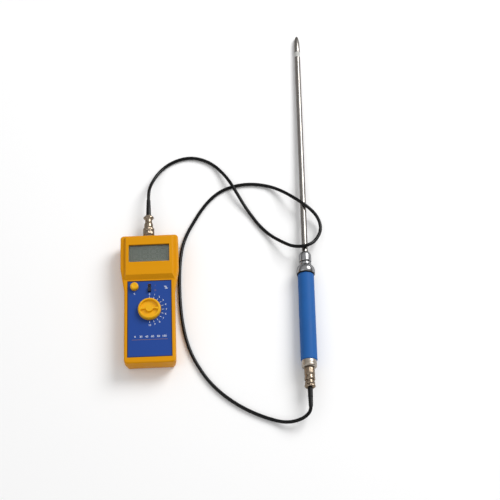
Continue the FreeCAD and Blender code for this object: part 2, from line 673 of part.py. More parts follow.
def make_knob():
    """A round knob with a grip bar between two half-moon hollows; the bar's pointer end is at +X."""
    base = "deck_level"
    top = f"{base} + knob_height"
    body = turned("range_knob", [
        ("0", base), ("knob_radius", base), ("knob_radius", f"{base} + 1"),
        ("knob_top_radius", f"{top} - 0.9"), ("knob_top_radius - 0.8", top), ("0", top)])
    inner = "knob_top_radius - knob_rim"
    hollow = new_sketch(body, "XY_Plane", top)
    add_circle(hollow, "0", "0", inner)
    pocket(body, hollow, "knob_recess")
    grip = new_sketch(body, "XY_Plane", f"{top} - knob_recess")
    add_outline(grip, [
        (f"-({inner}) - 0.5", "-bar_half_width"), (f"{inner} - 1", "-bar_half_width"),
        (f"{inner} + 0.9", "0"), (f"{inner} - 1", "bar_half_width"),
        (f"-({inner}) - 0.5", "bar_half_width")])
    pad(body, grip, "knob_recess - 0.4")
    hub = new_sketch(body, "XY_Plane", f"{top} - knob_recess")
    add_circle(hub, "0", "0", "hub_radius")
    pad(body, hub, "knob_recess - 0.2")
    bore = new_sketch(body, "XY_Plane", base)
    add_circle(bore, "0", "0", "shaft_radius + fit / 2")
    pocket(body, bore, "knob_height - 1.2", along_normal=True)
    body.Placement = FreeCAD.Placement(Vector(0, value("dial_y"), 0), FreeCAD.Rotation())

    board_top = "board_level + board_thickness"
    shaft = rod("potentiometer_shaft", "shaft_radius", f"{board_top} + 2", "deck_level + knob_height - 1.4")
    shaft.Placement = body.Placement
    casing = block("potentiometer_casing", ("-pot_half_width", "dial_y - pot_half_length", board_top),
                   ("pot_half_width", "dial_y + pot_half_length", f"{board_top} + pot_height"))
    bushing = cylinder("potentiometer_bushing", "shaft_radius + bushing_wall", "bushing_height",
                       "0", "dial_y", f"{board_top} + 0.2")
    bore = cylinder("potentiometer_bore", "shaft_radius + fit / 2", "20", "0", "dial_y",
                    f"{board_top} + 1.9")
    blank = doc.addObject("Part::MultiFuse", "potentiometer_blank")
    blank.Shapes = [casing, bushing]
    cut("potentiometer_body", blank, [bore])


def make_zero_button():
    """A domed button that hangs under the deck by its flange and presses a tact switch."""
    flange_top = "deck_level - wall - 0.3"
    flange_foot = f"{flange_top} - flange_thickness"
    crown = "deck_level + zero_height"
    body = turned("zero_button", [
        ("0", flange_foot), ("zero_flange", flange_foot), ("zero_flange", flange_top),
        ("zero_radius", flange_top), ("zero_radius", f"{crown} - 1.8"),
        ("zero_radius - 0.5", f"{crown} - 0.9"),
        ("zero_radius - 1.5", f"{crown} - 0.25"), ("zero_radius - 3", crown), ("0", crown)])
    board_top = "board_level + board_thickness"
    plunger = rod("zero_switch_plunger", "plunger_radius", f"{board_top} + 2.4", flange_foot)
    for piece in (body, plunger):
        piece.Placement = FreeCAD.Placement(Vector(value("zero_x"), value("zero_y"), 0), FreeCAD.Rotation())
    casing = block("zero_switch_casing", ("zero_x - tact_half_width", "zero_y - tact_half_width", board_top),
                   ("zero_x + tact_half_width", "zero_y + tact_half_width", f"{board_top} + tact_height"))
    well = cylinder("zero_switch_well", "plunger_radius + fit", "6", "zero_x", "zero_y", f"{board_top} + 1.2")
    cut("zero_switch_body", casing, [well])


def make_power_switch():
    """A slide switch on the board, with its lever in the slot of the deck at the off end."""
    board_top = "board_level + board_thickness"
    lever_low = "slot_low + 0.4"
    lever = block("lever_post", ("-lever_half_width", lever_low, f"{board_top} + 3"),
                  ("lever_half_width", f"{lever_low} + lever_length", "deck_level + lever_rise"))
    carriage_foot, carriage_top = f"{board_top} + 1.6", f"{board_top} + 3.6"
    carriage = block("lever_carriage",
                     ("-carriage_half_width", f"{lever_low} - carriage_reach", carriage_foot),
                     ("carriage_half_width", f"{lever_low} + lever_length + carriage_reach", carriage_top))
    slider = doc.addObject("Part::MultiFuse", "power_switch_slider")
    slider.Shapes = [lever, carriage]
    keep(slider, "power_switch_slider")

    travel_end = "slot_high + 0.4"
    can = block("power_switch_can", ("-switch_half_width", "slot_low - 1.6", board_top),
                ("switch_half_width", f"{travel_end} + 1.2", f"{board_top} + switch_height"))
    carriage_way = block("power_switch_carriage_way",
                         ("-carriage_half_width - fit", "slot_low - carriage_reach",
                          f"{carriage_foot} - fit"),
                         ("carriage_half_width + fit", f"{travel_end} + 0.2", f"{carriage_top} + fit"))
    lever_way = block("power_switch_lever_way", ("-lever_half_width - fit", "slot_low", f"{board_top} + 3.6"),
                      ("lever_half_width + fit", "slot_high", f"{board_top} + 6"))
    cut("power_switch_body", can, [carriage_way, lever_way])


# ---------------------------------------------------------------------------------------------------------
# Circuit board and battery
# ---------------------------------------------------------------------------------------------------------

def make_board():
    body = plate("main_board", ("-board_half_width", "board_low"), ("board_half_width", "board_high"),
                 "board_level", "board_thickness")
    holes = new_sketch(body, "XY_Plane", "board_level")
    add_circles(holes, post_places(), "board_screw_radius + fit * 2")
    pocket(body, holes, "board_thickness", along_normal=True)

    screws = []
    for number, (x, y) in enumerate(post_places()):
        head = cylinder(f"board_screw_head_{number}", "board_screw_head_radius", "board_screw_head_height",
                        x, y, "board_level - board_screw_head_height - fit / 2")
        shank = cylinder(f"board_screw_shank_{number}", "board_screw_radius", "board_screw_length", x, y,
                         "board_level - fit")
        screw = doc.addObject("Part::MultiFuse", f"board_screw_{number}")
        screw.Shapes = [head, shank]
        screws.append(screw)
    group("board_screws", screws)

    top = "board_level + board_thickness"
    controller = block("controller_body", ("4", "22", top), ("16", "34", f"{top} + 1.6"))
    keep(controller, "controller_chip")
    chips = [block("amplifier_0", ("-14", "24", top), ("-10", "29", f"{top} + 1.5")),
             block("amplifier_1", ("-7", "24", top), ("-3", "29", f"{top} + 1.5")),
             block("regulator", ("12", "-6", top), ("18", "-2", f"{top} + 1.6"))]
    group("small_chips", chips)
    cans = [cylinder("capacitor_0", "2.5", "5.4", "-14", "-4", top),
            cylinder("capacitor_1", "2", "5.2", "-14", "34.5", top),
            cylinder("capacitor_2", "2", "5.2", "16", "8", top)]
    group("capacitors", cans)


def make_battery():
    high = "battery_low + battery_length"
    middle = "battery_level + battery_thickness / 2"
    case = block("battery_case", ("-battery_half_width", "battery_low", "battery_level"),
                 ("battery_half_width", high, "battery_level + battery_thickness"))
    rounded = doc.addObject("Part::Fillet", "battery_rounded")
    rounded.Base = case
    doc.recompute()
    long_edges = [n for n, edge in enumerate(case.Shape.Edges, start=1)
                  if edge.BoundBox.YLength > 10]
    corner = value("battery_corner")
    rounded.Edges = [(n, corner, corner) for n in long_edges]
    terminals = []
    for name, x in (("plus", "-terminal_x"), ("minus", "terminal_x")):
        terminal = cylinder(f"terminal_{name}", "terminal_radius", "terminal_height", x, high, middle)
        terminal.Placement.Rotation = FreeCAD.Rotation(Vector(1, 0, 0), -90)
        terminals.append(terminal)
    battery = doc.addObject("Part::MultiFuse", "battery")
    battery.Shapes = [rounded] + terminals
    keep(battery, "battery")

    snap = block("snap_plate", ("-battery_half_width + 0.4", f"{high} + fit", f"{middle} - snap_half_height"),
                 ("battery_half_width - 0.4", f"{high} + snap_thickness", f"{middle} + snap_half_height"))
    wells = []
    for name, x in (("plus", "-terminal_x"), ("minus", "terminal_x")):
        well = cylinder(f"snap_well_{name}", "terminal_radius + fit", "terminal_height + 0.4",
                        x, high, middle)
        well.Placement.Rotation = FreeCAD.Rotation(Vector(1, 0, 0), -90)
        wells.append(well)
    cut("battery_snap", snap, wells)

    leads = []
    for name, x in (("plus", "-lead_x"), ("minus", "lead_x")):
        lead = cylinder(f"lead_{name}", "lead_radius", "lead_length", x, f"{high} + snap_thickness",
                        "board_level + board_thickness + lead_radius + fit / 2")
        lead.Placement.Rotation = FreeCAD.Rotation(Vector(1, 0, 0), -90)
        leads.append(lead)
    group("battery_leads", leads)
    plate("battery_pad", ("-battery_half_width + 2", "battery_low + 6"),
          ("battery_half_width - 2", f"{high} - 6"), "battery_level + battery_thickness + 0.05",
          "deck_level - wall - 0.05 - battery_level - battery_thickness - 0.1")


# ---------------------------------------------------------------------------------------------------------
# Bayonet connectors: a socket and the plug on it, from the face they are mounted on (height 0) outwards
# ---------------------------------------------------------------------------------------------------------

def make_socket(name, shank_back):
    """Socket body with two bayonet lugs, its white insulator and its hollow contact."""
    body = turned(f"{name}_socket_body", [
        ("dielectric_radius + 1", shank_back), ("shank_radius", shank_back), ("shank_radius", "0"),
        ("jack_radius", "0"), ("jack_radius", "jack_end"), ("jack_bore", "jack_end"), ("jack_bore", "1"),
        ("dielectric_radius + 1", "1")])
    lugs = new_sketch(body, "YZ_Plane", "-lug_radius")
    add_circle(lugs, "0", "jack_end - lug_setback", "lug_pin_radius")
    pad(body, lugs, "lug_radius * 2")
    clear = new_sketch(body, "XY_Plane", "1")
    add_circle(clear, "0", "0", "jack_bore")
    pocket(body, clear, "20", along_normal=True)
    contact_bore = "contact_radius + fit / 2"
    shank_fill = "dielectric_radius + 1 - fit / 2"
    insulator = turned(f"{name}_socket_insulator", [
        (contact_bore, f"{shank_back} + 0.5"), (shank_fill, f"{shank_back} + 0.5"), (shank_fill, "0.8"),
        ("dielectric_radius", "0.8"), ("dielectric_radius", "jack_end - 2"), (contact_bore, "jack_end - 2")])
    contact = turned(f"{name}_socket_contact", [
        ("0", f"{shank_back} - 2"), ("contact_radius", f"{shank_back} - 2"),
        ("contact_radius", "jack_end - 2.4"), ("pin_radius + fit / 2", "jack_end - 2.4"),
        ("pin_radius + fit / 2", "1"), ("0", "1")])
    return [body, insulator, contact]


def make_plug(name, shoulder, profile, back):
    """Plug body with a spigot inside the socket, its insulator, its pin and the strain relief."""
    body = turned(f"{name}_plug_body", [
        ("dielectric_radius + 0.9", "2"), ("jack_bore - fit", "2"), ("jack_bore - fit", "jack_end + 0.2"),
        ("jack_radius - 0.1", "jack_end + 0.2"), ("jack_radius - 0.1", f"{shoulder} - 0.2"),
        ("jack_radius - 0.7", f"{shoulder} - 0.2"), ("jack_radius - 0.7", f"{shoulder} + 1.3")]
        + profile + [("0", back), ("0", f"{shoulder} + 2"), ("dielectric_radius + 0.9", f"{shoulder} + 2")])
    insulator = turned(f"{name}_plug_insulator", [
        ("dielectric_radius + fit", "3"), ("dielectric_radius + 0.8", "3"),
        ("dielectric_radius + 0.8", f"{shoulder} + 1.9"), ("pin_radius + fit / 2", f"{shoulder} + 1.9"),
        ("pin_radius + fit / 2", "jack_end - 1.8"), ("dielectric_radius + fit", "jack_end - 1.8")])
    pin = rod(f"{name}_plug_pin", "pin_radius", "2", f"{shoulder} + 1.9")
    boot_end = f"{back} + boot_length"
    boot = turned(f"{name}_plug_boot", [
        ("0", back), ("boot_radius", back), ("boot_radius - 0.15", f"{back} + boot_length * 0.5"),
        ("boot_end_radius", boot_end), ("cord_radius + 0.02", boot_end),
        ("cord_radius + 0.02", f"{boot_end} - boot_grip"), ("0", f"{boot_end} - boot_grip")])
    return [body, insulator, pin, boot]


def make_coupling_nut(name, outside, shoulder, front):
    """Coupling nut: an inner ring channel for the lugs, and two straight slots that let them in."""
    inner_wall = "jack_radius - 0.6"
    bore = "jack_radius + 0.15"
    lug_level = "jack_end - lug_setback"
    body = turned(f"{name}_coupling_nut", outside + [
        (inner_wall, f"{shoulder} + 1"), (inner_wall, shoulder), (bore, shoulder),
        (bore, f"{lug_level} + channel_half"), ("lug_radius + fit", f"{lug_level} + channel_half"),
        ("lug_radius + fit", f"{lug_level} - channel_half"), (bore, f"{lug_level} - channel_half"),
        (bore, front)])
    slots = new_sketch(body, "XY_Plane", front)
    add_rectangle(slots, "-channel_half", "channel_half", "-lug_radius - fit", "lug_radius + fit")
    pocket(body, slots, f"{lug_level} - ({front})", along_normal=True)
    return body


def make_meter_connector():
    shoulder, back = "meter_shoulder", "meter_plug_back"
    pieces = make_socket("meter", "-8.5")
    pieces += make_plug("meter", shoulder, [
        ("5.15", f"{shoulder} + 1.4"), ("5.15", "19.6"), ("4.1", "21"), ("4.1", "25.4"), ("5.6", "26.4"),
        ("6.2", "27.4"), ("6.2", "28.8"), ("4.6", back)], back)
    pieces.append(make_coupling_nut("meter", [
        ("6.1", "meter_nut_front"), ("6.7", "meter_nut_front + 0.8"), ("6.7", "8.0"), ("6.2", "8.7"),
        ("6.2", "9.4"), ("6.7", "10.1"),
        ("6.7", "12.6"), ("6.0", f"{shoulder} + 1")], shoulder, "meter_nut_front"))
    inner_flange = tube("meter_socket_flange", "6.4", "shank_radius + fit / 2", "-wall - 2.9", "-wall - 0.5")
    panel_nut = new_body("meter_socket_nut")
    sketch = new_sketch(panel_nut, "XY_Plane", "0.1")
    corner_reach = value("panel_nut_half") / math.cos(math.radians(30))
    hexagon = [(corner_reach * math.cos(math.radians(60 * n)), corner_reach * math.sin(math.radians(60 * n)))
               for n in range(6)]
    add_outline(sketch, hexagon)
    add_circle(sketch, "0", "0", "jack_radius + fit / 2")
    pad(panel_nut, sketch, "panel_nut_height")
    pieces += [inner_flange, panel_nut]
    socket_foot = Vector(value("socket_x"), value("case_half_length"), value("socket_level"))
    place(pieces, socket_foot, Vector(0, 1, 0))


def make_probe_connector(origin, direction):
    shoulder, back = "probe_shoulder", "probe_plug_back"
    pieces = make_socket("probe", "-9")
    pieces += make_plug("probe", shoulder, [
        ("4.9", f"{shoulder} + 1.4"), ("4.9", "17.2"), ("5.7", "17.9"), ("5.7", "19.4"), ("5.0", "19.8"),
        ("5.0", "20.2"), ("6.3", "20.9"), ("6.3", "22.9"), ("5.2", back)], back)
    pieces.append(make_coupling_nut("probe", [
        ("5.7", "probe_nut_front"), ("5.85", "probe_nut_front + 0.6"), ("5.85", "11.5"), ("6.0", "13.4"),
        ("6.0", "14.6"),
        ("5.6", f"{shoulder} + 1")], shoulder, "probe_nut_front"))
    place(pieces, origin, direction)


# ---------------------------------------------------------------------------------------------------------
# Probe: everything turned, built along its own axis
# ---------------------------------------------------------------------------------------------------------

def tip_point():
    """The tip narrows along a quarter of an ellipse, from the rod's side to its point."""
    angles = [math.radians(90 * step / TIP_STEPS) for step in range(TIP_STEPS + 1)]
    return [(f"rod_radius * {math.cos(angle):.4f}", f"tip_station - tip_taper * {1 - math.sin(angle):.4f}")
            for angle in angles]


def make_probe():
    pieces = [
        turned("end_collar", [
            ("shank_radius + fit / 2", "collar_low"), ("collar_radius - 1.2", "collar_low"),
            ("collar_radius", "collar_low + 1.6"), ("collar_radius", "sleeve_low - 0.1"),
            ("tube_bore - fit / 2", "sleeve_low - 0.1"), ("tube_bore - fit / 2", "sleeve_low + 8"),
            ("shank_radius + fit / 2", "sleeve_low + 8")]),
        tube("handle_tube", "tube_radius", "tube_bore", "sleeve_low", "dome_station + 4"),
        turned("grip_sleeve", [
            ("tube_radius + fit / 2", "sleeve_low"), ("sleeve_radius - 0.6", "sleeve_low"),
            ("sleeve_radius", "sleeve_low + 1"), ("sleeve_radius", "sleeve_high - 1"),
            ("sleeve_radius - 0.4", "sleeve_high"), ("tube_radius + fit / 2", "sleeve_high")]),
        turned("handle_seal", [
            ("tube_radius + fit / 2", "sleeve_high + 0.05"), ("dome_radius - 0.9", "sleeve_high + 0.05"),
            ("dome_radius - 0.3", "sleeve_high + 0.5"), ("dome_radius - 0.3", "dome_station - 0.5"),
            ("dome_radius - 0.7", "dome_station - 0.05"), ("tube_radius + fit / 2", "dome_station - 0.05")]),
        turned("dome_nut", [
            ("tube_radius + fit / 2", "dome_station"), ("dome_radius - 0.3", "dome_station"),
            ("dome_radius", "dome_station + 0.6"), ("dome_radius", "dome_station + 3"),
            ("dome_radius * 0.96", "dome_station + 5.2"), ("dome_radius * 0.87", "dome_station + 7.4"),
            ("dome_radius * 0.74", "dome_station + 9.2"),
            ("dome_radius * 0.62", "dome_station + dome_length"),
            ("gland_radius + fit / 2", "dome_station + dome_length"),
            ("gland_radius + fit / 2", "dome_station + 4.1"),
            ("tube_radius + fit / 2", "dome_station + 4.1")]),
        turned("gland_body", [
            ("rod_radius + fit / 2", "dome_station - 2"), ("gland_radius", "dome_station - 2"),
            ("gland_radius", "dome_station + dome_length + 0.05"),
            ("gland_flange_radius - 0.8", "dome_station + dome_length + 0.05"),
            ("gland_flange_radius", "dome_station + dome_length + 0.9"),
            ("gland_flange_radius", "gland_flange_high - 0.8"),
            ("gland_flange_radius - 0.8", "gland_flange_high"),
            ("gland_radius", "gland_flange_high"), ("gland_radius", "gland_nut_high - 5.2"),
            ("rod_radius + fit / 2", "gland_nut_high - 5.2")]),
        tube("gland_seal", "gland_radius - 0.1", "rod_radius", "gland_nut_high - 5.15",
             "gland_nut_high - 2.6"),
        turned("gland_nut", [
            ("gland_radius + fit / 2", "gland_nut_low"), ("gland_nut_radius - 0.5", "gland_nut_low"),
            ("gland_nut_radius", "gland_nut_low + 0.8"), ("gland_nut_radius", "gland_nut_high - 5.4"),
            ("gland_nut_radius - 0.5", "gland_nut_high - 3.2"),
            ("gland_nut_radius - 1.6", "gland_nut_high - 1.2"),
            ("gland_nut_radius - 2.9", "gland_nut_high"), ("rod_radius + fit", "gland_nut_high"),
            ("rod_radius + fit", "gland_nut_high - 2.55"),
            ("gland_radius + fit / 2", "gland_nut_high - 2.55")]),
        tube("probe_tube", "rod_radius", "rod_bore", "rod_low", "rod_high"),
        tube("core_insulation", "rod_bore - fit / 2", "core_radius + fit / 2", "rod_low - 14", "rod_high"),
        turned("rod_bush", [
            ("rod_bore", "rod_low - 12"), ("tube_bore - fit / 2", "rod_low - 12"),
            ("tube_bore - fit / 2", "rod_low + 4"), ("rod_radius + fit / 2", "rod_low + 4"),
            ("rod_radius + fit / 2", "rod_low - 0.05"), ("rod_bore", "rod_low - 0.05")]),
        rod("inner_conductor", "core_radius", "rod_low - 20", "ring_high + 6"),
        rod("handle_lead", "0.8", "collar_low + 11.1", "rod_low - 20.05"),
        tube("insulating_ring", "rod_radius", "core_radius + fit / 2", "rod_high + 0.02", "ring_high"),
        turned("tip_electrode", [
            ("core_radius + fit / 2", "ring_high + 0.02"), ("rod_radius", "ring_high + 0.02")]
            + tip_point() + [
            ("0", "ring_high + 6.1"), ("core_radius + fit / 2", "ring_high + 6.1")]),
    ]
    # The probe lies on its dome nut and on the shoulder of its tip, so it dips a little towards the point.
    rest_low = value("dome_station + 3")
    rest_high = value("tip_station - tip_taper")
    drop = value("dome_radius - rod_radius") / (rest_high - rest_low)
    lean = math.radians(value("probe_lean"))
    axis = Vector(math.sin(lean), math.cos(lean), -drop).normalize()
    level = value("dome_radius") + rest_low * drop
    middle = Vector(value("probe_x"), 0, level)
    place(pieces, middle, axis)
    collar_end = middle + axis * value("collar_low")
    make_probe_connector(collar_end, -axis)
    print("probe axis", tuple(round(v, 6) for v in axis), "through", tuple(round(v, 4) for v in middle))
    print("collar end", tuple(round(v, 4) for v in collar_end))
    return collar_end - axis * value("probe_plug_back + boot_length - boot_grip")


# ---------------------------------------------------------------------------------------------------------
# Signal cord
# ---------------------------------------------------------------------------------------------------------

def cord_path(points):
    """Straight runs joined by tangent arcs, each arc as large as its two runs allow."""
    edges = []
    radii = []
    start = points[0]
    for before, corner, after in zip(points, points[1:], points[2:]):
        incoming = (corner - before).normalize()
        outgoing = (after - corner).normalize()
        half_turn = incoming.getAngle(outgoing) / 2
        reach = 0.45 * min((corner - before).Length, (after - corner).Length)
        radius = reach / math.tan(half_turn)
        arc_start = corner - incoming * reach
        arc_end = corner + outgoing * reach
        inward = (outgoing - incoming).normalize()
        centre = corner + inward * (radius / math.cos(half_turn))
        arc_middle = centre - inward * radius
        edges.append(Part.LineSegment(start, arc_start).toShape())
        edges.append(Part.Arc(arc_start, arc_middle, arc_end).toShape())
        radii.append(radius)
        start = arc_end
    edges.append(Part.LineSegment(start, points[-1]).toShape())
    return Part.Wire(edges), radii


def make_cord(far_end):
    """One round cord between the two strain reliefs."""
    points = [Vector(*point) for point in CORD_ROUTE] + [far_end]
    path, radii = cord_path(points)
    radius = value("cord_radius")
    section = Part.Wire(Part.Circle(points[0], points[1] - points[0], radius).toShape())
    solid = path.makePipeShell([section], True, False)
    expected = math.pi * radius ** 2 * path.Length
    cord = doc.addObject("Part::Feature", "signal_cord")
    cord.Shape = solid
    keep(cord, "signal_cord")
    print("cord length %.1f, volume / expected %.4f" % (path.Length, solid.Volume / expected))
    print("cord radii", [round(r, 1) for r in radii])
    runs = [(b - a).Length for a, b in zip(points, points[1:])]
    print("cord runs", [round(r, 1) for r in runs])


# ---------------------------------------------------------------------------------------------------------
# Build, check and export
# ---------------------------------------------------------------------------------------------------------

make_front_cover()
make_rear_cover()
make_battery_door()
make_case_screws()
make_front_label()
make_display()
make_knob()
make_zero_button()
make_power_switch()
make_board()
make_battery()
make_meter_connector()
cord_end = make_probe()
print("cord end", cord_end)
make_cord(cord_end)

doc.recompute()
for item in doc.Objects:
    if {"Invalid", "Error"} & set(item.State):
        raise RuntimeError(f"{item.Label} failed: {item.State}")
for item in sub_parts:
    if item.Shape.isNull() or not item.Shape.isValid():
        raise RuntimeError(f"{item.Label} has no valid shape")

os.makedirs("parts", exist_ok=True)
for item in sub_parts:
    item.Shape.exportStep(f"parts/{item.Label}.step")
print(len(sub_parts), "nodes written")
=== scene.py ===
import json
import math

import bpy
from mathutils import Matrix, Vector


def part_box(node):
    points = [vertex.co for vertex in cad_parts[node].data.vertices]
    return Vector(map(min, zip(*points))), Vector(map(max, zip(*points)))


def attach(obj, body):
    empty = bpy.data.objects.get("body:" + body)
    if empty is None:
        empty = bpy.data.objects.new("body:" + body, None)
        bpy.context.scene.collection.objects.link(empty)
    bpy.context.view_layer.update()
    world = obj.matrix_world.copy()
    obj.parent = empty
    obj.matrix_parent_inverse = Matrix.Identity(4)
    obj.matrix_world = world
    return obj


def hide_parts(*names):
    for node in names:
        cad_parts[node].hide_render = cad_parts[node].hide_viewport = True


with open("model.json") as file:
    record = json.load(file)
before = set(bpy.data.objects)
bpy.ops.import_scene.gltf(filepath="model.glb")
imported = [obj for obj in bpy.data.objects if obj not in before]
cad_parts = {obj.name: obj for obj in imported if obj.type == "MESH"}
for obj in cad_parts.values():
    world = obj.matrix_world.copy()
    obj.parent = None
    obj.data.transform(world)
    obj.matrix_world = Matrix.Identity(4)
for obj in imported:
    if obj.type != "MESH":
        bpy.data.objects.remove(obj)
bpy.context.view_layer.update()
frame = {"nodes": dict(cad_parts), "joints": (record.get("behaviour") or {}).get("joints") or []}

# Looks of a handheld moisture meter, its cord and its probe.  Places are in metres, in the frame of the CAD
# model; profiles and stations are in mm.

MM = 0.001

# The nodes of the CAD model, taken before any piece replaces a node.
nodes = frame["nodes"]

# ---------------------------------------------------------------------------------------------------------
# Camera
# ---------------------------------------------------------------------------------------------------------

CAMERA_PLACE = Vector((0.0911, -0.5570, 1.2529))
CAMERA_AIM = Vector((0.1183, 0.0671, 0.0))
CAMERA_LENS = 84.56
SENSOR_WIDTH = 36.0

camera_data = bpy.data.cameras.new("camera")
camera_data.lens = CAMERA_LENS
camera_data.sensor_width = SENSOR_WIDTH
camera = bpy.data.objects.new("camera", camera_data)
camera.location = CAMERA_PLACE
camera.rotation_euler = (CAMERA_AIM - CAMERA_PLACE).to_track_quat("-Z", "Y").to_euler()
bpy.context.scene.collection.objects.link(camera)
bpy.context.scene.camera = camera
bpy.context.scene.view_settings.view_transform = "Standard"

# ---------------------------------------------------------------------------------------------------------
# Axes of the two connectors and the probe, from the joints of the coupling nuts
# ---------------------------------------------------------------------------------------------------------

joints = {joint["name"]: joint for joint in frame["joints"]}
METER_FACE = Vector(joints["meter_nut_turn"]["pos_m"])
METER_AXIS = Vector(joints["meter_nut_turn"]["axis"])
PROBE_END = Vector(joints["probe_nut_turn"]["pos_m"])
PROBE_OUT = Vector(joints["probe_nut_turn"]["axis"]).normalized()
PROBE_AXIS = -PROBE_OUT

# Stations along the probe's axis in mm, from the point beside the meter's middle.
COLLAR_STATION = -90.3
SLEEVE_LOW = -82.0
DOME_STATION = 27.4
DOME_LENGTH = 10.6
GLAND_NUT_LOW = 43.0
GLAND_NUT_HIGH = 55.6
RING_HIGH = 347.7
TIP_STATION = 374.4
TIP_TAPER = 17.0
TIP_STEPS = 24

# ---------------------------------------------------------------------------------------------------------
# Making meshes
# ---------------------------------------------------------------------------------------------------------

UP = Vector((0, 0, 1))
SHARP_ANGLE = 40.0
TURN_SEGMENTS = 96


def new_mesh_object(name, points, faces, sharp_angle=SHARP_ANGLE):
    """A smooth shaded mesh in which edges sharper than an angle, in degrees, stay crisp."""
    mesh = bpy.data.meshes.new(name)
    mesh.from_pydata(points, [], faces)
    mesh.validate()
    mesh.shade_smooth()
    mesh.set_sharp_from_angle(angle=math.radians(sharp_angle))
    piece = bpy.data.objects.new(name, mesh)
    bpy.context.scene.collection.objects.link(piece)
    return piece


def turned(name, profile, origin, axis, segments=TURN_SEGMENTS, ripple=None):
    """Turn a profile of (radius, height), in mm, round an axis.  A ripple changes the radius by angle."""
    turn = UP.rotation_difference(axis).to_matrix()
    points = []
    for radius, height in profile:
        for number in range(segments):
            angle = 2 * math.pi * number / segments
            reach = ripple(radius, height, angle) if ripple else radius
            local = Vector((reach * math.cos(angle), reach * math.sin(angle), height)) * MM
            points.append(origin + turn @ local)
    faces = []
    rows = len(profile)
    closed = profile[0][0] > 0 and profile[-1][0] > 0
    for row in range(rows if closed else rows - 1):
        above = (row + 1) % rows
        for number in range(segments):
            following = (number + 1) % segments
            faces.append((row * segments + number, row * segments + following,
                          above * segments + following, above * segments + number))
    return new_mesh_object(name, points, faces)


def arc(centre, radius, start, end, steps):
    """Points (radius, height) on an arc of a profile; angles in degrees from the radial direction."""
    across, up = centre
    turns = [math.radians(start + (end - start) * step / steps) for step in range(steps + 1)]
    return [(across + radius * math.cos(a), up + radius * math.sin(a)) for a in turns]


def shoulder(inner, bulge, base, rise, steps):
    """Points (radius, height) that round a wall over into a top, without the two ends of the curve."""
    turns = [math.radians(90 * step / steps) for step in range(1, steps)]
    return [(inner + bulge * math.cos(a), base + rise * math.sin(a)) for a in turns]


def stand_for(piece, node, body, material):
    """The piece replaces a CAD node, rides on its body and wears a material."""
    piece.data.materials.append(material)
    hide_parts(node)
    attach(piece, body)
    return piece


def smoothstep(low, high, x):
    """0 below low, 1 above high, and a smooth climb between."""
    share = min(1.0, max(0.0, (x - low) / (high - low)))
    return share * share * (3 - 2 * share)


# ---------------------------------------------------------------------------------------------------------
# Materials
# ---------------------------------------------------------------------------------------------------------

PATCH_DETAIL = 5.0
GRAIN_DETAIL = 3.0
NOISE_LOW = 0.3
NOISE_HIGH = 0.7
BUMP_STRENGTH = 0.35
WINDOW_REFRACTION = 1.47


def linear(red, green, blue):
    """Linear colour of an 8-bit display colour."""
    def channel(value):
        share = value / 255
        return share / 12.92 if share <= 0.04045 else ((share + 0.055) / 1.055) ** 2.4

    return channel(red), channel(green), channel(blue), 1.0


def shaded(colour, factor):
    """The colour made darker or lighter by a factor."""
    return tuple(min(1.0, value * factor) for value in colour[:3]) + (1.0,)


def surface(name, colour, roughness, metallic=0.0, spread=0.06, patch=70.0, grain=2600.0, depth=0.02,
            stretch=(1.0, 1.0, 1.0), specular=0.5, edge=1.0, turn=0.0):
    """A surface whose colour and roughness drift in patches, with a fine grain as bump.

    roughness is (lowest, highest), patch and grain are noise scales per metre, and depth is the grain in mm.
    edge is how bright a metal stays where it is seen at a glancing angle.  stretch and turn lay the patches
    along a direction.
    """
    material = bpy.data.materials.new(name)
    material.use_nodes = True
    tree = material.node_tree
    shader = tree.nodes["Principled BSDF"]
    shader.inputs["Metallic"].default_value = metallic
    shader.inputs["Specular IOR Level"].default_value = specular
    shader.inputs["Specular Tint"].default_value = (edge, edge, edge, 1.0)

    place = tree.nodes.new("ShaderNodeTexCoord")
    mapping = tree.nodes.new("ShaderNodeMapping")
    mapping.inputs["Scale"].default_value = stretch
    mapping.inputs["Rotation"].default_value = (0.0, 0.0, turn)
    tree.links.new(place.outputs["Object"], mapping.inputs["Vector"])

    patches = tree.nodes.new("ShaderNodeTexNoise")
    patches.inputs["Scale"].default_value = patch
    patches.inputs["Detail"].default_value = PATCH_DETAIL
    tree.links.new(mapping.outputs["Vector"], patches.inputs["Vector"])

    blend = tree.nodes.new("ShaderNodeMix")
    blend.data_type = "RGBA"
    blend.inputs["A"].default_value = shaded(colour, 1 - spread)
    blend.inputs["B"].default_value = shaded(colour, 1 + spread)
    tree.links.new(patches.outputs["Fac"], blend.inputs["Factor"])
    tree.links.new(blend.outputs["Result"], shader.inputs["Base Color"])

    polish = tree.nodes.new("ShaderNodeMapRange")
    polish.inputs["From Min"].default_value = NOISE_LOW
    polish.inputs["From Max"].default_value = NOISE_HIGH
    polish.inputs["To Min"].default_value = roughness[0]
    polish.inputs["To Max"].default_value = roughness[1]
    tree.links.new(patches.outputs["Fac"], polish.inputs["Value"])
    tree.links.new(polish.outputs["Result"], shader.inputs["Roughness"])

    grains = tree.nodes.new("ShaderNodeTexNoise")
    grains.inputs["Scale"].default_value = grain
    grains.inputs["Detail"].default_value = GRAIN_DETAIL
    tree.links.new(mapping.outputs["Vector"], grains.inputs["Vector"])
    bump = tree.nodes.new("ShaderNodeBump")
    bump.inputs["Strength"].default_value = BUMP_STRENGTH
    bump.inputs["Distance"].default_value = depth * MM
    tree.links.new(grains.outputs["Fac"], bump.inputs["Height"])
    tree.links.new(bump.outputs["Normal"], shader.inputs["Normal"])
    return material


# The rod's polish runs along the probe.
PROBE_TURN = math.atan2(PROBE_AXIS.x, PROBE_AXIS.y)
ALONG_PROBE = (1.0, 0.02, 1.0)

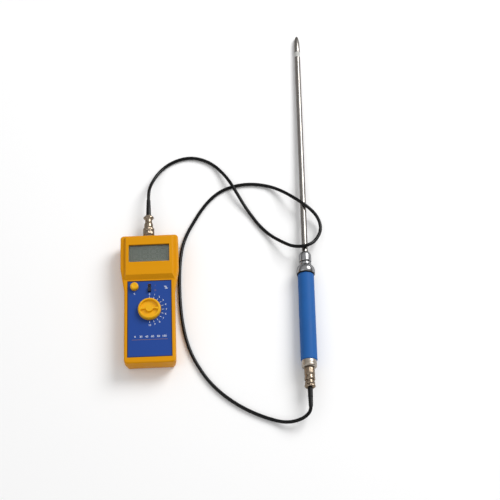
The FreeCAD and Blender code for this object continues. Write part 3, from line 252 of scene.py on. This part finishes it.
case_plastic = surface("case_plastic", linear(212, 143, 1), (0.36, 0.48), spread=0.03, depth=0.03,
                       specular=0.12)
control_plastic = surface("control_plastic", linear(230, 170, 5), (0.26, 0.36), spread=0.03, depth=0.012,
                          specular=0.3)
label_film = surface("label_film", linear(29, 67, 144), (0.38, 0.50), spread=0.05, patch=40, depth=0.015,
                     specular=0.2)
display_grey = surface("display_grey", linear(132, 137, 129), (0.45, 0.6), spread=0.04, patch=50)
segment_grey = surface("segment_grey", linear(119, 124, 117), (0.45, 0.6), spread=0.04)
black_plastic = surface("black_plastic", linear(24, 24, 25), (0.38, 0.5), spread=0.2)
black_rubber = surface("black_rubber", linear(7, 7, 8), (0.30, 0.42), spread=0.25, grain=1800, depth=0.03,
                       specular=0.25)
cord_jacket = surface("cord_jacket", linear(5, 5, 6), (0.18, 0.28), spread=0.25, grain=1500, depth=0.02,
                      specular=0.2)
sleeve_blue = surface("sleeve_blue", linear(34, 92, 160), (0.50, 0.62), spread=0.09, patch=55, grain=1900,
                      depth=0.04, specular=0.16)
nickel = surface("nickel", linear(148, 133, 116), (0.17, 0.28), metallic=1.0, spread=0.09, patch=220,
                 edge=0.3)
satin_nickel = surface("satin_nickel", linear(172, 163, 152), (0.34, 0.46), metallic=1.0, spread=0.07,
                       patch=260)
chrome = surface("chrome", linear(160, 160, 162), (0.10, 0.20), metallic=1.0, spread=0.05, patch=160,
                 edge=0.25)
rod_steel = surface("rod_steel", linear(142, 138, 134), (0.18, 0.30), metallic=1.0, spread=0.09, patch=260,
                    stretch=ALONG_PROBE, turn=PROBE_TURN, edge=0.25)
ring_plastic = surface("ring_plastic", linear(176, 176, 172), (0.42, 0.55), spread=0.05)
white_insulator = surface("white_insulator", linear(228, 228, 222), (0.40, 0.5), spread=0.03)
contact_gold = surface("contact_gold", linear(214, 172, 92), (0.18, 0.3), metallic=1.0, spread=0.06)
zinc_steel = surface("zinc_steel", linear(170, 170, 168), (0.28, 0.42), metallic=1.0, spread=0.09, patch=400)
board_green = surface("board_green", linear(24, 92, 52), (0.30, 0.42), spread=0.1, patch=300)
aluminium = surface("aluminium", linear(196, 196, 198), (0.28, 0.4), metallic=1.0, spread=0.05, patch=300)
foil_wrap = surface("foil_wrap", linear(52, 55, 60), (0.25, 0.36), spread=0.1, patch=120)
foam_grey = surface("foam_grey", linear(58, 58, 60), (0.8, 0.95), spread=0.2, grain=3200, depth=0.12)
lead_red = surface("lead_red", linear(168, 30, 26), (0.36, 0.46), spread=0.08)
strip_pink = surface("strip_pink", linear(206, 158, 160), (0.5, 0.65), spread=0.08)
print_white = surface("print_white", linear(226, 232, 240), (0.45, 0.55), spread=0.03, patch=600)
print_brown = surface("print_brown", linear(122, 92, 74), (0.45, 0.55), spread=0.06, patch=600)
# Dark colour of the painted shadow line round the label's edge.
recess_shadow_dark = surface("recess_shadow_dark", linear(8, 10, 22), (0.40, 0.50), spread=0.06, patch=600)

clear_window = surface("clear_window", linear(240, 244, 241), (0.04, 0.09), spread=0.01, depth=0.002)
window_shader = clear_window.node_tree.nodes["Principled BSDF"]
window_shader.inputs["Transmission Weight"].default_value = 1.0
window_shader.inputs["IOR"].default_value = WINDOW_REFRACTION

DRESSED = {
    case_plastic: ["front_cover", "rear_cover", "battery_door"],
    label_film: ["front_label"],
    clear_window: ["display_window"],
    display_grey: ["display_glass"],
    black_plastic: ["display_frame", "power_switch_slider", "zero_switch_plunger", "zero_switch_body",
                    "battery_snap", "rod_bush", "controller_chip", "small_chips"],
    aluminium: ["potentiometer_body", "power_switch_body", "capacitors", "handle_tube"],
    zinc_steel: ["case_screws", "board_screws"],
    board_green: ["main_board"],
    foil_wrap: ["battery"],
    foam_grey: ["battery_pad"],
    lead_red: ["battery_leads", "handle_lead"],
    strip_pink: ["display_contact_strips"],
    white_insulator: ["meter_socket_insulator", "meter_plug_insulator", "probe_socket_insulator",
                      "probe_plug_insulator", "core_insulation"],
    contact_gold: ["meter_socket_contact", "meter_plug_pin", "probe_socket_contact", "probe_plug_pin",
                   "inner_conductor"],
    nickel: ["potentiometer_shaft", "meter_socket_body", "meter_socket_flange", "meter_socket_nut",
             "probe_socket_body"],
    sleeve_blue: ["grip_sleeve"],
    black_rubber: ["handle_seal", "gland_seal"],
    rod_steel: ["probe_tube"],
    ring_plastic: ["insulating_ring"],
}
for material, names in DRESSED.items():
    for node_name in names:
        nodes[node_name].data.materials.clear()
        nodes[node_name].data.materials.append(material)

# ---------------------------------------------------------------------------------------------------------
# Connectors
# ---------------------------------------------------------------------------------------------------------

KNURLS = 28
NUT_SEGMENTS = KNURLS * 6
BORE = 4.95

# Ripples leave the surfaces inside this radius alone, such as a bore.
RIPPLE_FLOOR = 5.0

# Profiles are (radius, height) in mm, with heights measured outwards along the connector's own axis.
METER_NUT_PROFILE = [
    (BORE, 3.5), (5.9, 3.5), (6.3, 3.8), (6.7, 4.3), (6.7, 5.5), (6.7, 6.8), (6.7, 8.0), (6.35, 8.4),
    (6.15, 8.8), (6.15, 9.3), (6.35, 9.7), (6.7, 10.1), (6.7, 11.3), (6.7, 12.6), (6.4, 13.1), (6.0, 13.4),
    (BORE, 13.4)]
METER_NUT_KNURLS = [(4.2, 8.1), (10.0, 12.7)]
METER_KNURL_DEPTH = 0.22
METER_PLUG_PROFILE = [
    (0.0, 13.5), (5.0, 13.5), (5.15, 13.8), (5.15, 19.2), (4.95, 19.7), (4.3, 20.6), (4.1, 21.4), (4.1, 25.0),
    (4.4, 25.8), (5.4, 26.6), (6.1, 27.3), (6.2, 27.9), (6.1, 28.6), (5.4, 29.2), (4.5, 29.9), (0.0, 30.0)]
METER_PLUG_LOBES = (25.9, 29.4)
METER_PLUG_WAIST = 4.5
PROBE_NUT_PROFILE = [
    (BORE, 0.4), (5.3, 0.4), (5.7, 0.8), (5.85, 1.2), (5.85, 3.6), (5.85, 6.4), (5.85, 8.8), (5.6, 9.2),
    (5.6, 10.6), (5.85, 11.1), (5.95, 12.6), (6.0, 14.4), (5.7, 15.0), (BORE, 15.2)]
PROBE_NUT_KNURLS = [(1.1, 8.9)]
PROBE_KNURL_DEPTH = 0.14
PROBE_PLUG_PROFILE = [
    (0.0, 15.4), (4.8, 15.4), (4.9, 15.8), (4.9, 17.1), (5.4, 17.5), (5.7, 18.0), (5.7, 19.3), (5.3, 19.8),
    (5.0, 20.1), (5.4, 20.5), (6.1, 20.9), (6.3, 21.3), (6.3, 22.5), (6.1, 22.9), (5.2, 23.5), (0.0, 23.6)]
PROBE_PLUG_SCALLOPS = [(20.7, 23.0)]
SCALLOP_DEPTH = 0.7
SCALLOPS = 8


def grooved(depth, count, spans):
    """A ripple that cuts even grooves into the stretches of a piece given as (low, high) heights."""
    def ripple(radius, height, angle):
        for low, high in spans:
            if low <= height <= high and radius > RIPPLE_FLOOR:
                return radius - depth * (0.5 - 0.5 * math.cos(count * angle))
        return radius

    return ripple


def two_lobed(span, waist):
    """A ripple that draws a flange in to a narrow waist between two lobes."""
    low, high = span

    def ripple(radius, height, angle):
        if low <= height <= high and radius > waist:
            return waist + (radius - waist) * (0.5 + 0.5 * math.cos(2 * angle))
        return radius

    return ripple


meter_nut = turned("meter_nut_ribbed", METER_NUT_PROFILE, METER_FACE, METER_AXIS, NUT_SEGMENTS,
                   grooved(METER_KNURL_DEPTH, KNURLS, METER_NUT_KNURLS))
stand_for(meter_nut, "meter_coupling_nut", "meter_nut", nickel)

meter_plug = turned("meter_plug_barrel", METER_PLUG_PROFILE, METER_FACE, METER_AXIS,
                    ripple=two_lobed(METER_PLUG_LOBES, METER_PLUG_WAIST))
stand_for(meter_plug, "meter_plug_body", "instrument", nickel)

probe_nut = turned("probe_nut_ribbed", PROBE_NUT_PROFILE, PROBE_END, PROBE_OUT, NUT_SEGMENTS,
                   grooved(PROBE_KNURL_DEPTH, KNURLS, PROBE_NUT_KNURLS))
stand_for(probe_nut, "probe_coupling_nut", "probe_nut", nickel)

probe_plug = turned("probe_plug_barrel", PROBE_PLUG_PROFILE, PROBE_END, PROBE_OUT,
                    ripple=grooved(SCALLOP_DEPTH, SCALLOPS, PROBE_PLUG_SCALLOPS))
stand_for(probe_plug, "probe_plug_body", "instrument", nickel)

METER_BOOT_BACK = 30.0
PROBE_BOOT_BACK = 23.6
BOOT_LENGTH = 22.0
BOOT_ROOT_RADIUS = 3.0
BOOT_THINNING = 0.5
BOOT_ROUNDING = 0.3
BOOT_STEPS = 44
BOOT_SEGMENTS = 48
BOOT_RIBS = 5
BOOT_RIB_DEPTH = 0.18
BOOT_RIBS_FROM = 0.5
BOOT_LIP_RADIUS = 2.4
BOOT_MOUTH_RADIUS = 2.05


def boot_profile(back):
    """A tapering strain relief with shallow ribs near its free end."""
    front = back + BOOT_LENGTH
    profile = [(0.0, back), (BOOT_ROOT_RADIUS - 0.1, back), (BOOT_ROOT_RADIUS, back + BOOT_ROUNDING)]
    for step in range(1, BOOT_STEPS):
        share = step / BOOT_STEPS
        radius = BOOT_ROOT_RADIUS - BOOT_THINNING * share
        if share > BOOT_RIBS_FROM:
            turns = BOOT_RIBS * (share - BOOT_RIBS_FROM) / (1 - BOOT_RIBS_FROM)
            radius -= BOOT_RIB_DEPTH * (0.5 - 0.5 * math.cos(2 * math.pi * turns))
        profile.append((radius, back + BOOT_ROUNDING + (BOOT_LENGTH - 2 * BOOT_ROUNDING) * share))
    return profile + [(BOOT_LIP_RADIUS, front - 0.1), (BOOT_MOUTH_RADIUS, front), (0.0, front)]


meter_boot = turned("meter_boot_tapered", boot_profile(METER_BOOT_BACK), METER_FACE, METER_AXIS,
                    BOOT_SEGMENTS)
stand_for(meter_boot, "meter_plug_boot", "instrument", black_rubber)
probe_boot = turned("probe_boot_tapered", boot_profile(PROBE_BOOT_BACK), PROBE_END, PROBE_OUT, BOOT_SEGMENTS)
stand_for(probe_boot, "probe_plug_boot", "instrument", black_rubber)

# ---------------------------------------------------------------------------------------------------------
# Signal cord
# ---------------------------------------------------------------------------------------------------------

CORD_RADIUS = 0.002
CORD_ROUNDNESS = 6
CORD_SMOOTHNESS = 10

# The route of the CAD cord, from the meter's strain relief to the probe's.
CORD_ROUTE = [
    (-0.0012, 0.1300, 0.0140), (-0.0012, 0.1410, 0.0140), (0.0004, 0.1520, 0.0112), (0.0046, 0.1640, 0.0070),
    (0.0114, 0.1765, 0.0038), (0.0214, 0.1872, 0.0020), (0.0353, 0.1943, 0.0020), (0.0509, 0.1969, 0.0020),
    (0.0662, 0.1929, 0.0020), (0.0790, 0.1846, 0.0020), (0.0886, 0.1727, 0.0042), (0.0967, 0.1595, 0.0069),
    (0.1052, 0.1423, 0.0069), (0.1134, 0.1264, 0.0040), (0.1213, 0.1133, 0.0020), (0.1305, 0.0986, 0.0020),
    (0.1420, 0.0850, 0.0030), (0.1555, 0.0725, 0.0085), (0.1705, 0.0604, 0.0164), (0.1900, 0.0626, 0.0164),
    (0.2005, 0.0765, 0.0105), (0.2046, 0.0905, 0.0070), (0.2010, 0.1045, 0.0085), (0.1905, 0.1142, 0.0150),
    (0.1758, 0.1264, 0.0150), (0.1616, 0.1415, 0.0070), (0.1465, 0.1515, 0.0025), (0.1296, 0.1556, 0.0020),
    (0.1149, 0.1561, 0.0020), (0.1001, 0.1535, 0.0020), (0.0852, 0.1474, 0.0020), (0.0721, 0.1361, 0.0020),
    (0.0614, 0.1221, 0.0020), (0.0526, 0.1070, 0.0020), (0.0444, 0.0921, 0.0020), (0.0380, 0.0750, 0.0020),
    (0.0350, 0.0552, 0.0020), (0.0338, 0.0343, 0.0020), (0.0337, 0.0136, 0.0020), (0.0345, -0.0069, 0.0020),
    (0.0364, -0.0258, 0.0020), (0.0398, -0.0446, 0.0020), (0.0453, -0.0627, 0.0020),
    (0.0540, -0.0807, 0.0020), (0.0660, -0.0992, 0.0020), (0.0823, -0.1159, 0.0020),
    (0.1010, -0.1298, 0.0020), (0.1210, -0.1403, 0.0020), (0.1380, -0.1469, 0.0026),
    (0.1485, -0.1499, 0.0050), (0.1585, -0.1502, 0.0080), (0.1670, -0.1484, 0.0112),
    (0.1730, -0.1448, 0.0136), (0.17673, -0.1396, 0.01462), (0.176912, -0.133804, 0.014467),
]

cord_curve = bpy.data.curves.new("signal_cord_line", "CURVE")
cord_curve.dimensions = "3D"
cord_curve.bevel_depth = CORD_RADIUS
cord_curve.bevel_resolution = CORD_ROUNDNESS
cord_curve.resolution_u = CORD_SMOOTHNESS
cord_curve.use_fill_caps = True
spline = cord_curve.splines.new("NURBS")
spline.points.add(len(CORD_ROUTE) - 1)
for control, place in zip(spline.points, CORD_ROUTE):
    control.co = (*place, 1.0)
spline.order_u = 3
spline.use_endpoint_u = True
cord = bpy.data.objects.new("signal_cord_smooth", cord_curve)
bpy.context.scene.collection.objects.link(cord)
cord_curve.materials.append(cord_jacket)
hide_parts("signal_cord")
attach(cord, "instrument")

# ---------------------------------------------------------------------------------------------------------
# Probe
# ---------------------------------------------------------------------------------------------------------


def probe_piece(name, profile):
    """A turned piece whose heights are stations along the probe."""
    shifted = [(radius, station - COLLAR_STATION) for radius, station in profile]
    return turned(name, shifted, PROBE_END, PROBE_AXIS)


THREAD_RADIUS = 4.85
COLLAR_RADIUS = 8.6
COLLAR_FACE_RADIUS = 6.6
COLLAR_GROOVE_RADIUS = 8.3
COLLAR_ROUNDING = 2.0
COLLAR_STEPS = 8
COLLAR_TOP = SLEEVE_LOW - 0.1
collar_profile = [(THREAD_RADIUS, COLLAR_STATION), (COLLAR_FACE_RADIUS, COLLAR_STATION)]
collar_profile += arc((COLLAR_FACE_RADIUS, COLLAR_STATION + COLLAR_ROUNDING), COLLAR_ROUNDING, -90, 0,
                      COLLAR_STEPS)
collar_profile += [(COLLAR_RADIUS, -86.4), (COLLAR_GROOVE_RADIUS, -86.1), (COLLAR_GROOVE_RADIUS, -85.7),
                   (COLLAR_RADIUS, -85.4), (COLLAR_RADIUS, COLLAR_TOP), (THREAD_RADIUS, COLLAR_TOP)]
collar = probe_piece("end_collar_rounded", collar_profile)
stand_for(collar, "end_collar", "instrument", satin_nickel)

NUT_BORE = 4.9
DOME_RADIUS = 10.8
DOME_TOP_RADIUS = 6.2
DOME_BULGE = 4.6
DOME_WALL = 3.0
DOME_SOCKET_RADIUS = 8.1
DOME_SOCKET_DEPTH = 4.1
DOME_STEPS = 13
dome_top = DOME_STATION + DOME_LENGTH
dome_profile = [(DOME_SOCKET_RADIUS, DOME_STATION), (DOME_RADIUS - 0.4, DOME_STATION),
                (DOME_RADIUS, DOME_STATION + 0.5), (DOME_RADIUS, DOME_STATION + DOME_WALL)]
dome_profile += shoulder(DOME_TOP_RADIUS, DOME_BULGE, DOME_STATION + DOME_WALL, DOME_LENGTH - DOME_WALL,
                         DOME_STEPS)
dome_profile += [(DOME_TOP_RADIUS - 0.2, dome_top), (NUT_BORE, dome_top),
                 (NUT_BORE, DOME_STATION + DOME_SOCKET_DEPTH),
                 (DOME_SOCKET_RADIUS, DOME_STATION + DOME_SOCKET_DEPTH)]
dome = probe_piece("dome_nut_smooth", dome_profile)
stand_for(dome, "dome_nut", "instrument", chrome)

GLAND_BORE = 3.55
GLAND_RING_RADIUS = 6.75
GLAND_LOW = DOME_STATION - 2
GLAND_HIGH = 50.4
gland_profile = [
    (GLAND_BORE, GLAND_LOW), (THREAD_RADIUS, GLAND_LOW), (THREAD_RADIUS, dome_top + 0.05),
    (5.9, dome_top + 0.05), (6.5, dome_top + 0.4), (GLAND_RING_RADIUS, dome_top + 0.9),
    (GLAND_RING_RADIUS, 41.5), (6.5, 42.0), (5.9, 42.3), (THREAD_RADIUS, 42.3),
    (THREAD_RADIUS, GLAND_HIGH), (GLAND_BORE, GLAND_HIGH)]
gland = probe_piece("gland_body_ringed", gland_profile)
stand_for(gland, "gland_body", "instrument", chrome)

NUT_RADIUS = 7.15
NUT_TOP_RADIUS = 4.2
NUT_BULGE = 2.95
NUT_WALL_TOP = 49.6
NUT_ROD_HOLE = 3.6
NUT_LID = 2.55
NUT_STEPS = 11
nut_profile = [(NUT_BORE, GLAND_NUT_LOW), (6.6, GLAND_NUT_LOW), (7.05, GLAND_NUT_LOW + 0.4),
               (NUT_RADIUS, GLAND_NUT_LOW + 0.9), (NUT_RADIUS, NUT_WALL_TOP)]
nut_profile += shoulder(NUT_TOP_RADIUS, NUT_BULGE, NUT_WALL_TOP, GLAND_NUT_HIGH - NUT_WALL_TOP, NUT_STEPS)
nut_profile += [(4.1, GLAND_NUT_HIGH), (NUT_ROD_HOLE, GLAND_NUT_HIGH),
                (NUT_ROD_HOLE, GLAND_NUT_HIGH - NUT_LID), (NUT_BORE, GLAND_NUT_HIGH - NUT_LID)]
gland_nut = probe_piece("gland_nut_domed", nut_profile)
stand_for(gland_nut, "gland_nut", "instrument", chrome)

ROD_RADIUS = 3.5
STUD_RADIUS = 1.25
STUD_SOCKET = 6.1
TIP_FOOT = RING_HIGH + 0.02
tip_profile = [(0.0, RING_HIGH + STUD_SOCKET), (STUD_RADIUS, RING_HIGH + STUD_SOCKET),
               (STUD_RADIUS, TIP_FOOT), (ROD_RADIUS - 0.1, TIP_FOOT), (ROD_RADIUS, RING_HIGH + 0.2),
               (ROD_RADIUS, TIP_STATION - TIP_TAPER)]
tip_profile += shoulder(0.0, ROD_RADIUS, TIP_STATION - TIP_TAPER, TIP_TAPER, TIP_STEPS)
tip_profile.append((0.0, TIP_STATION))
tip = probe_piece("tip_electrode_pointed", tip_profile)
stand_for(tip, "tip_electrode", "instrument", rod_steel)

# ---------------------------------------------------------------------------------------------------------
# Knob and zero button
# ---------------------------------------------------------------------------------------------------------

KNOB_RADIUS = 13.3
KNOB_FACE = 12.6
KNOB_HEIGHT = 5.2
HOLLOW_RADIUS = 10.1
HOLLOW_DEPTH = 2.9
HUB_RADIUS = 4.5
HUB_DROP = 0.25
BAR_HALF_WIDTH = 1.0
BAR_FLARE = 0.9
BAR_FLARE_FROM = 7.5
BAR_SOFTNESS = 0.3
BAR_DROP = 0.5
EDGE_WIDTH = 1.0
EDGE_DROP = 0.9
KNOB_SIDE = ((12.9, 3.8), (13.15, 2.4), (KNOB_RADIUS, 1.0), (KNOB_RADIUS, 0.25), (13.1, 0.0))
KNOB_SEGMENTS = 192
KNOB_RINGS = 56
KNOB_SHARP_ANGLE = 60.0


def knob_height(x, y):
    """Height of the knob's face in mm: a rounded rim, two half-moon hollows, a grip bar and a hub."""
    reach = math.hypot(x, y)
    rim = smoothstep(HOLLOW_RADIUS - 0.1, HOLLOW_RADIUS + 0.5, reach)
    bar_width = BAR_HALF_WIDTH + BAR_FLARE * smoothstep(BAR_FLARE_FROM, HOLLOW_RADIUS, abs(x))
    bar = 1 - smoothstep(bar_width - BAR_SOFTNESS, bar_width + BAR_SOFTNESS, abs(y))
    hub = 1 - smoothstep(HUB_RADIUS - 0.4, HUB_RADIUS + 0.2, reach)
    raised = max(rim * HOLLOW_DEPTH, bar * (HOLLOW_DEPTH - BAR_DROP), hub * (HOLLOW_DEPTH - HUB_DROP))
    edge = EDGE_DROP * smoothstep(KNOB_FACE - EDGE_WIDTH, KNOB_FACE, reach) ** 2
    return KNOB_HEIGHT - HOLLOW_DEPTH + raised - edge


def knob_ring(centre, radius, height_at):
    """The points of one ring of the knob, whose heights in mm come from height_at(x, y)."""
    points = []
    for number in range(KNOB_SEGMENTS):
        angle = 2 * math.pi * number / KNOB_SEGMENTS
        x, y = radius * math.cos(angle), radius * math.sin(angle)
        points.append(centre + Vector((x, y, height_at(x, y))) * MM)
    return points


def make_knob():
    """The knob's face in rings from its middle, then its side, closed underneath."""
    centre = Vector(joints["knob_turn"]["pos_m"])
    points = [centre + Vector((0, 0, knob_height(0, 0))) * MM]
    for ring in range(1, KNOB_RINGS + 1):
        points += knob_ring(centre, KNOB_FACE * ring / KNOB_RINGS, knob_height)
    for radius, height in KNOB_SIDE:
        points += knob_ring(centre, radius, lambda x, y: height)
    count = KNOB_SEGMENTS
    faces = [(0, 1 + number, 1 + (number + 1) % count) for number in range(count)]
    rows = KNOB_RINGS + len(KNOB_SIDE)
    for row in range(rows - 1):
        for number in range(count):
            following = (number + 1) % count
            below, above = 1 + row * count, 1 + (row + 1) * count
            faces.append((below + number, above + number, above + following, below + following))
    last = 1 + (rows - 1) * count
    faces.append(tuple(last + number for number in reversed(range(count))))
    return new_mesh_object("range_knob_moulded", points, faces, KNOB_SHARP_ANGLE)


stand_for(make_knob(), "range_knob", "knob", control_plastic)

BUTTON_FLANGE = 5.7
BUTTON_RADIUS = 4.75
BUTTON_TOP_RADIUS = 2.9
BUTTON_BULGE = 1.85
BUTTON_ROUNDING = 2.4
BUTTON_STEPS = 14
button_low, button_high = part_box("zero_button")
button_foot = Vector(((button_low.x + button_high.x) / 2, (button_low.y + button_high.y) / 2, button_low.z))
button_height = (button_high.z - button_low.z) / MM
button_profile = [(0.0, 0.0), (BUTTON_FLANGE, 0.0), (BUTTON_FLANGE, 1.5), (BUTTON_RADIUS, 1.6),
                  (BUTTON_RADIUS, button_height - BUTTON_ROUNDING)]
button_profile += shoulder(BUTTON_TOP_RADIUS, BUTTON_BULGE, button_height - BUTTON_ROUNDING, BUTTON_ROUNDING,
                           BUTTON_STEPS)
button_profile += [(BUTTON_TOP_RADIUS, button_height), (2.4, button_height - 0.12),
                   (1.7, button_height - 0.32), (0.9, button_height - 0.4), (0.0, button_height - 0.42)]
zero_button = turned("zero_button_domed", button_profile, button_foot, UP)
stand_for(zero_button, "zero_button", "zero_key", control_plastic)

# ---------------------------------------------------------------------------------------------------------
# Printing on the label, a painted shadow line round its edge, and the display's idle segments
# ---------------------------------------------------------------------------------------------------------

label_low, label_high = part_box("front_label")
INK = 0.03 * MM
INK_SHARP_ANGLE = 20.0


def ink_strips(name, strips, level, material):
    """Flat strips with chamfered ends; each is (start, end, half width) in metres."""
    points, faces = [], []
    for start, end, half in strips:
        a, b = Vector(start), Vector(end)
        along = (b - a).normalized()
        side = Vector((-along.y, along.x)) * half
        outline = [a + along * half + side, a, a + along * half - side,
                   b - along * half - side, b, b - along * half + side]
        first = len(points)
        for height in (level, level + INK):
            points += [(p.x, p.y, height) for p in outline]
        count = len(outline)
        faces.append(tuple(first + count + n for n in range(count)))
        faces.append(tuple(first + n for n in reversed(range(count))))
        for n in range(count):
            m = (n + 1) % count
            faces.append((first + n, first + m, first + count + m, first + count + n))
    piece = new_mesh_object(name, points, faces, INK_SHARP_ANGLE)
    piece.data.materials.append(material)
    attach(piece, "instrument")


def print_text(name, text, x, y, size, material):
    """A line of thin raised ink on the label, centred at (x, y)."""
    data = bpy.data.curves.new(name, "FONT")
    data.body = text
    data.size = size
    data.align_x = "CENTER"
    data.align_y = "CENTER"
    data.extrude = INK / 2
    data.materials.append(material)
    piece = bpy.data.objects.new(name, data)
    piece.location = (x, y, label_high.z + INK / 2)
    bpy.context.scene.collection.objects.link(piece)
    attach(piece, "instrument")


DIAL_NUMBERS = 11
DIAL_STEP = 18
TICK_START = 14.2 * MM
TICK_END = 16.6 * MM
TICK_HALF_WIDTH = 0.22 * MM
NUMBER_REACH = 19.2 * MM
NUMBER_SIZE = 3.1 * MM
dial_centre = Vector(joints["knob_turn"]["pos_m"]).xy
ticks = []
for number in range(DIAL_NUMBERS):
    angle = math.radians(90 - DIAL_STEP * number)
    outward = Vector((math.cos(angle), math.sin(angle)))
    ticks.append((dial_centre + outward * TICK_START, dial_centre + outward * TICK_END, TICK_HALF_WIDTH))
    spot = dial_centre + outward * NUMBER_REACH
    print_text(f"dial_number_{number}", str(number), spot.x, spot.y, NUMBER_SIZE, print_white)
ink_strips("dial_ticks", ticks, label_high.z, print_white)

MARK_SIZE = 3.0 * MM
ZERO_MARK_DROP = 8.8 * MM
PERCENT_X = 19.0 * MM
PERCENT_Y = 11.5 * MM
PERCENT_SIZE = 5.6 * MM
SWITCH_MARKS_X = 6.6 * MM
SWITCH_ON_Y = 14.6 * MM
SWITCH_OFF_Y = 8.4 * MM
print_text("zero_mark", "0", button_foot.x, button_foot.y - ZERO_MARK_DROP, MARK_SIZE, print_white)
print_text("percent_mark", "%", PERCENT_X, PERCENT_Y, PERCENT_SIZE, print_white)
print_text("switch_on_mark", "I", SWITCH_MARKS_X, SWITCH_ON_Y, MARK_SIZE, print_brown)
print_text("switch_off_mark", "O", SWITCH_MARKS_X, SWITCH_OFF_Y, MARK_SIZE, print_brown)

SCALE_NUMBERS = 6
SCALE_COUNTS_BY = 20
SCALE_START = -16.5 * MM
SCALE_STEP = 6.6 * MM
SCALE_SIZE = 3.4 * MM
SCALE_Y = -48.6 * MM
SCALE_LINE_Y = SCALE_Y - 3.6 * MM
SCALE_LINE_REACH = 20.3 * MM
SCALE_LINE_HALF_WIDTH = 0.25 * MM
for number in range(SCALE_NUMBERS):
    print_text(f"scale_number_{number}", str(SCALE_COUNTS_BY * number), SCALE_START + SCALE_STEP * number,
               SCALE_Y, SCALE_SIZE, print_white)
scale_line = ((-SCALE_LINE_REACH, SCALE_LINE_Y), (SCALE_LINE_REACH, SCALE_LINE_Y), SCALE_LINE_HALF_WIDTH)
ink_strips("scale_line", [scale_line], label_high.z, print_brown)

# Painted shadow: a dark strip round the label's edge stands in for the shade at the wall of the shallow
# recess the label sits in.
RECESS_SHADOW_HALF_WIDTH = 0.42 * MM
RECESS_SHADOW_INSET = 0.5 * MM
recess_shadow_corners = [(label_low.x + RECESS_SHADOW_INSET, label_low.y + RECESS_SHADOW_INSET),
                  (label_high.x - RECESS_SHADOW_INSET, label_low.y + RECESS_SHADOW_INSET),
                  (label_high.x - RECESS_SHADOW_INSET, label_high.y - RECESS_SHADOW_INSET),
                  (label_low.x + RECESS_SHADOW_INSET, label_high.y - RECESS_SHADOW_INSET)]
recess_shadow_sides = [(corner, following, RECESS_SHADOW_HALF_WIDTH)
                for corner, following in zip(recess_shadow_corners, recess_shadow_corners[1:] + recess_shadow_corners[:1])]
ink_strips("label_recess_shadow", recess_shadow_sides, label_high.z, recess_shadow_dark)

display_low, display_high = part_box("display_glass")
DIGITS = 4
DIGITS_START = -19.0 * MM
DIGITS_STEP = 10.6 * MM
DIGIT_WIDTH = 7.0 * MM
DIGIT_HEIGHT = 12.5 * MM
STROKE_GAP = 0.5 * MM
STROKE_HALF_WIDTH = 0.65 * MM


def digit_segments(x, y):
    """The seven strokes of one idle digit whose lower left corner is at (x, y)."""
    half_height = DIGIT_HEIGHT / 2
    left, right = x + STROKE_GAP, x + DIGIT_WIDTH - STROKE_GAP
    strokes = [((left, y + level), (right, y + level), STROKE_HALF_WIDTH)
               for level in (0.0, half_height, DIGIT_HEIGHT)]
    for across in (0.0, DIGIT_WIDTH):
        for level in (0.0, half_height):
            start = (x + across, y + level + STROKE_GAP)
            end = (x + across, y + level + half_height - STROKE_GAP)
            strokes.append((start, end, STROKE_HALF_WIDTH))
    return strokes


idle_strokes = []
display_middle = (display_low + display_high) / 2
for number in range(DIGITS):
    idle_strokes += digit_segments(display_middle.x + DIGITS_START + DIGITS_STEP * number,
                                   display_middle.y - DIGIT_HEIGHT / 2)
ink_strips("display_segments", idle_strokes, display_high.z, segment_grey)

# ---------------------------------------------------------------------------------------------------------
# Floor and light
# ---------------------------------------------------------------------------------------------------------

FLOOR_REACH = 12.0
FLOOR_LEVEL = -0.4 * MM
floor_corners = [(x * FLOOR_REACH, y * FLOOR_REACH, FLOOR_LEVEL)
                 for x, y in ((-1, -1), (1, -1), (1, 1), (-1, 1))]
floor = new_mesh_object("floor", floor_corners, [(0, 1, 2, 3)])
floor_pale = surface("floor_pale", linear(250, 250, 250), (0.8, 0.95), spread=0.01, patch=2.0, grain=60,
                     depth=0.05)
floor.data.materials.append(floor_pale)

SKY_OVERHEAD = 0.66
SKY_HORIZON = 0.26
SKY_LOW = 0.15
SKY_HIGH = 0.85


def make_sky():
    """A soft overhead light that falls off towards a dim horizon, which metal reflects as dark bands."""
    world = bpy.data.worlds.new("studio")
    world.use_nodes = True
    tree = world.node_tree
    background = tree.nodes["Background"]
    background.inputs["Color"].default_value = (1.0, 1.0, 1.0, 1.0)
    direction = tree.nodes.new("ShaderNodeTexCoord")
    parts = tree.nodes.new("ShaderNodeSeparateXYZ")
    falloff = tree.nodes.new("ShaderNodeMapRange")
    falloff.interpolation_type = "SMOOTHSTEP"
    falloff.inputs["From Min"].default_value = SKY_LOW
    falloff.inputs["From Max"].default_value = SKY_HIGH
    falloff.inputs["To Min"].default_value = SKY_HORIZON
    falloff.inputs["To Max"].default_value = SKY_OVERHEAD
    tree.links.new(direction.outputs["Generated"], parts.inputs["Vector"])
    tree.links.new(parts.outputs["Z"], falloff.inputs["Value"])
    tree.links.new(falloff.outputs["Result"], background.inputs["Strength"])
    bpy.context.scene.world = world


make_sky()

OBJECT_MIDDLE = Vector((0.09, 0.10, 0.0))
KEY_PLACE = Vector((1.3, 1.1, 1.4))
KEY_SIZE = 1.3
KEY_POWER = 35.0
FILL_PLACE = Vector((-1.1, -0.7, 1.4))
FILL_SIZE = 1.6
FILL_POWER = 4.0


def area_light(name, place, size, power):
    """A soft round lamp that points at the middle of the object."""
    data = bpy.data.lights.new(name, "AREA")
    data.shape = "DISK"
    data.size = size
    data.energy = power
    lamp = bpy.data.objects.new(name, data)
    lamp.location = place
    lamp.rotation_euler = (OBJECT_MIDDLE - place).to_track_quat("-Z", "Y").to_euler()
    bpy.context.scene.collection.objects.link(lamp)


area_light("key_light", KEY_PLACE, KEY_SIZE, KEY_POWER)
area_light("fill_light", FILL_PLACE, FILL_SIZE, FILL_POWER)
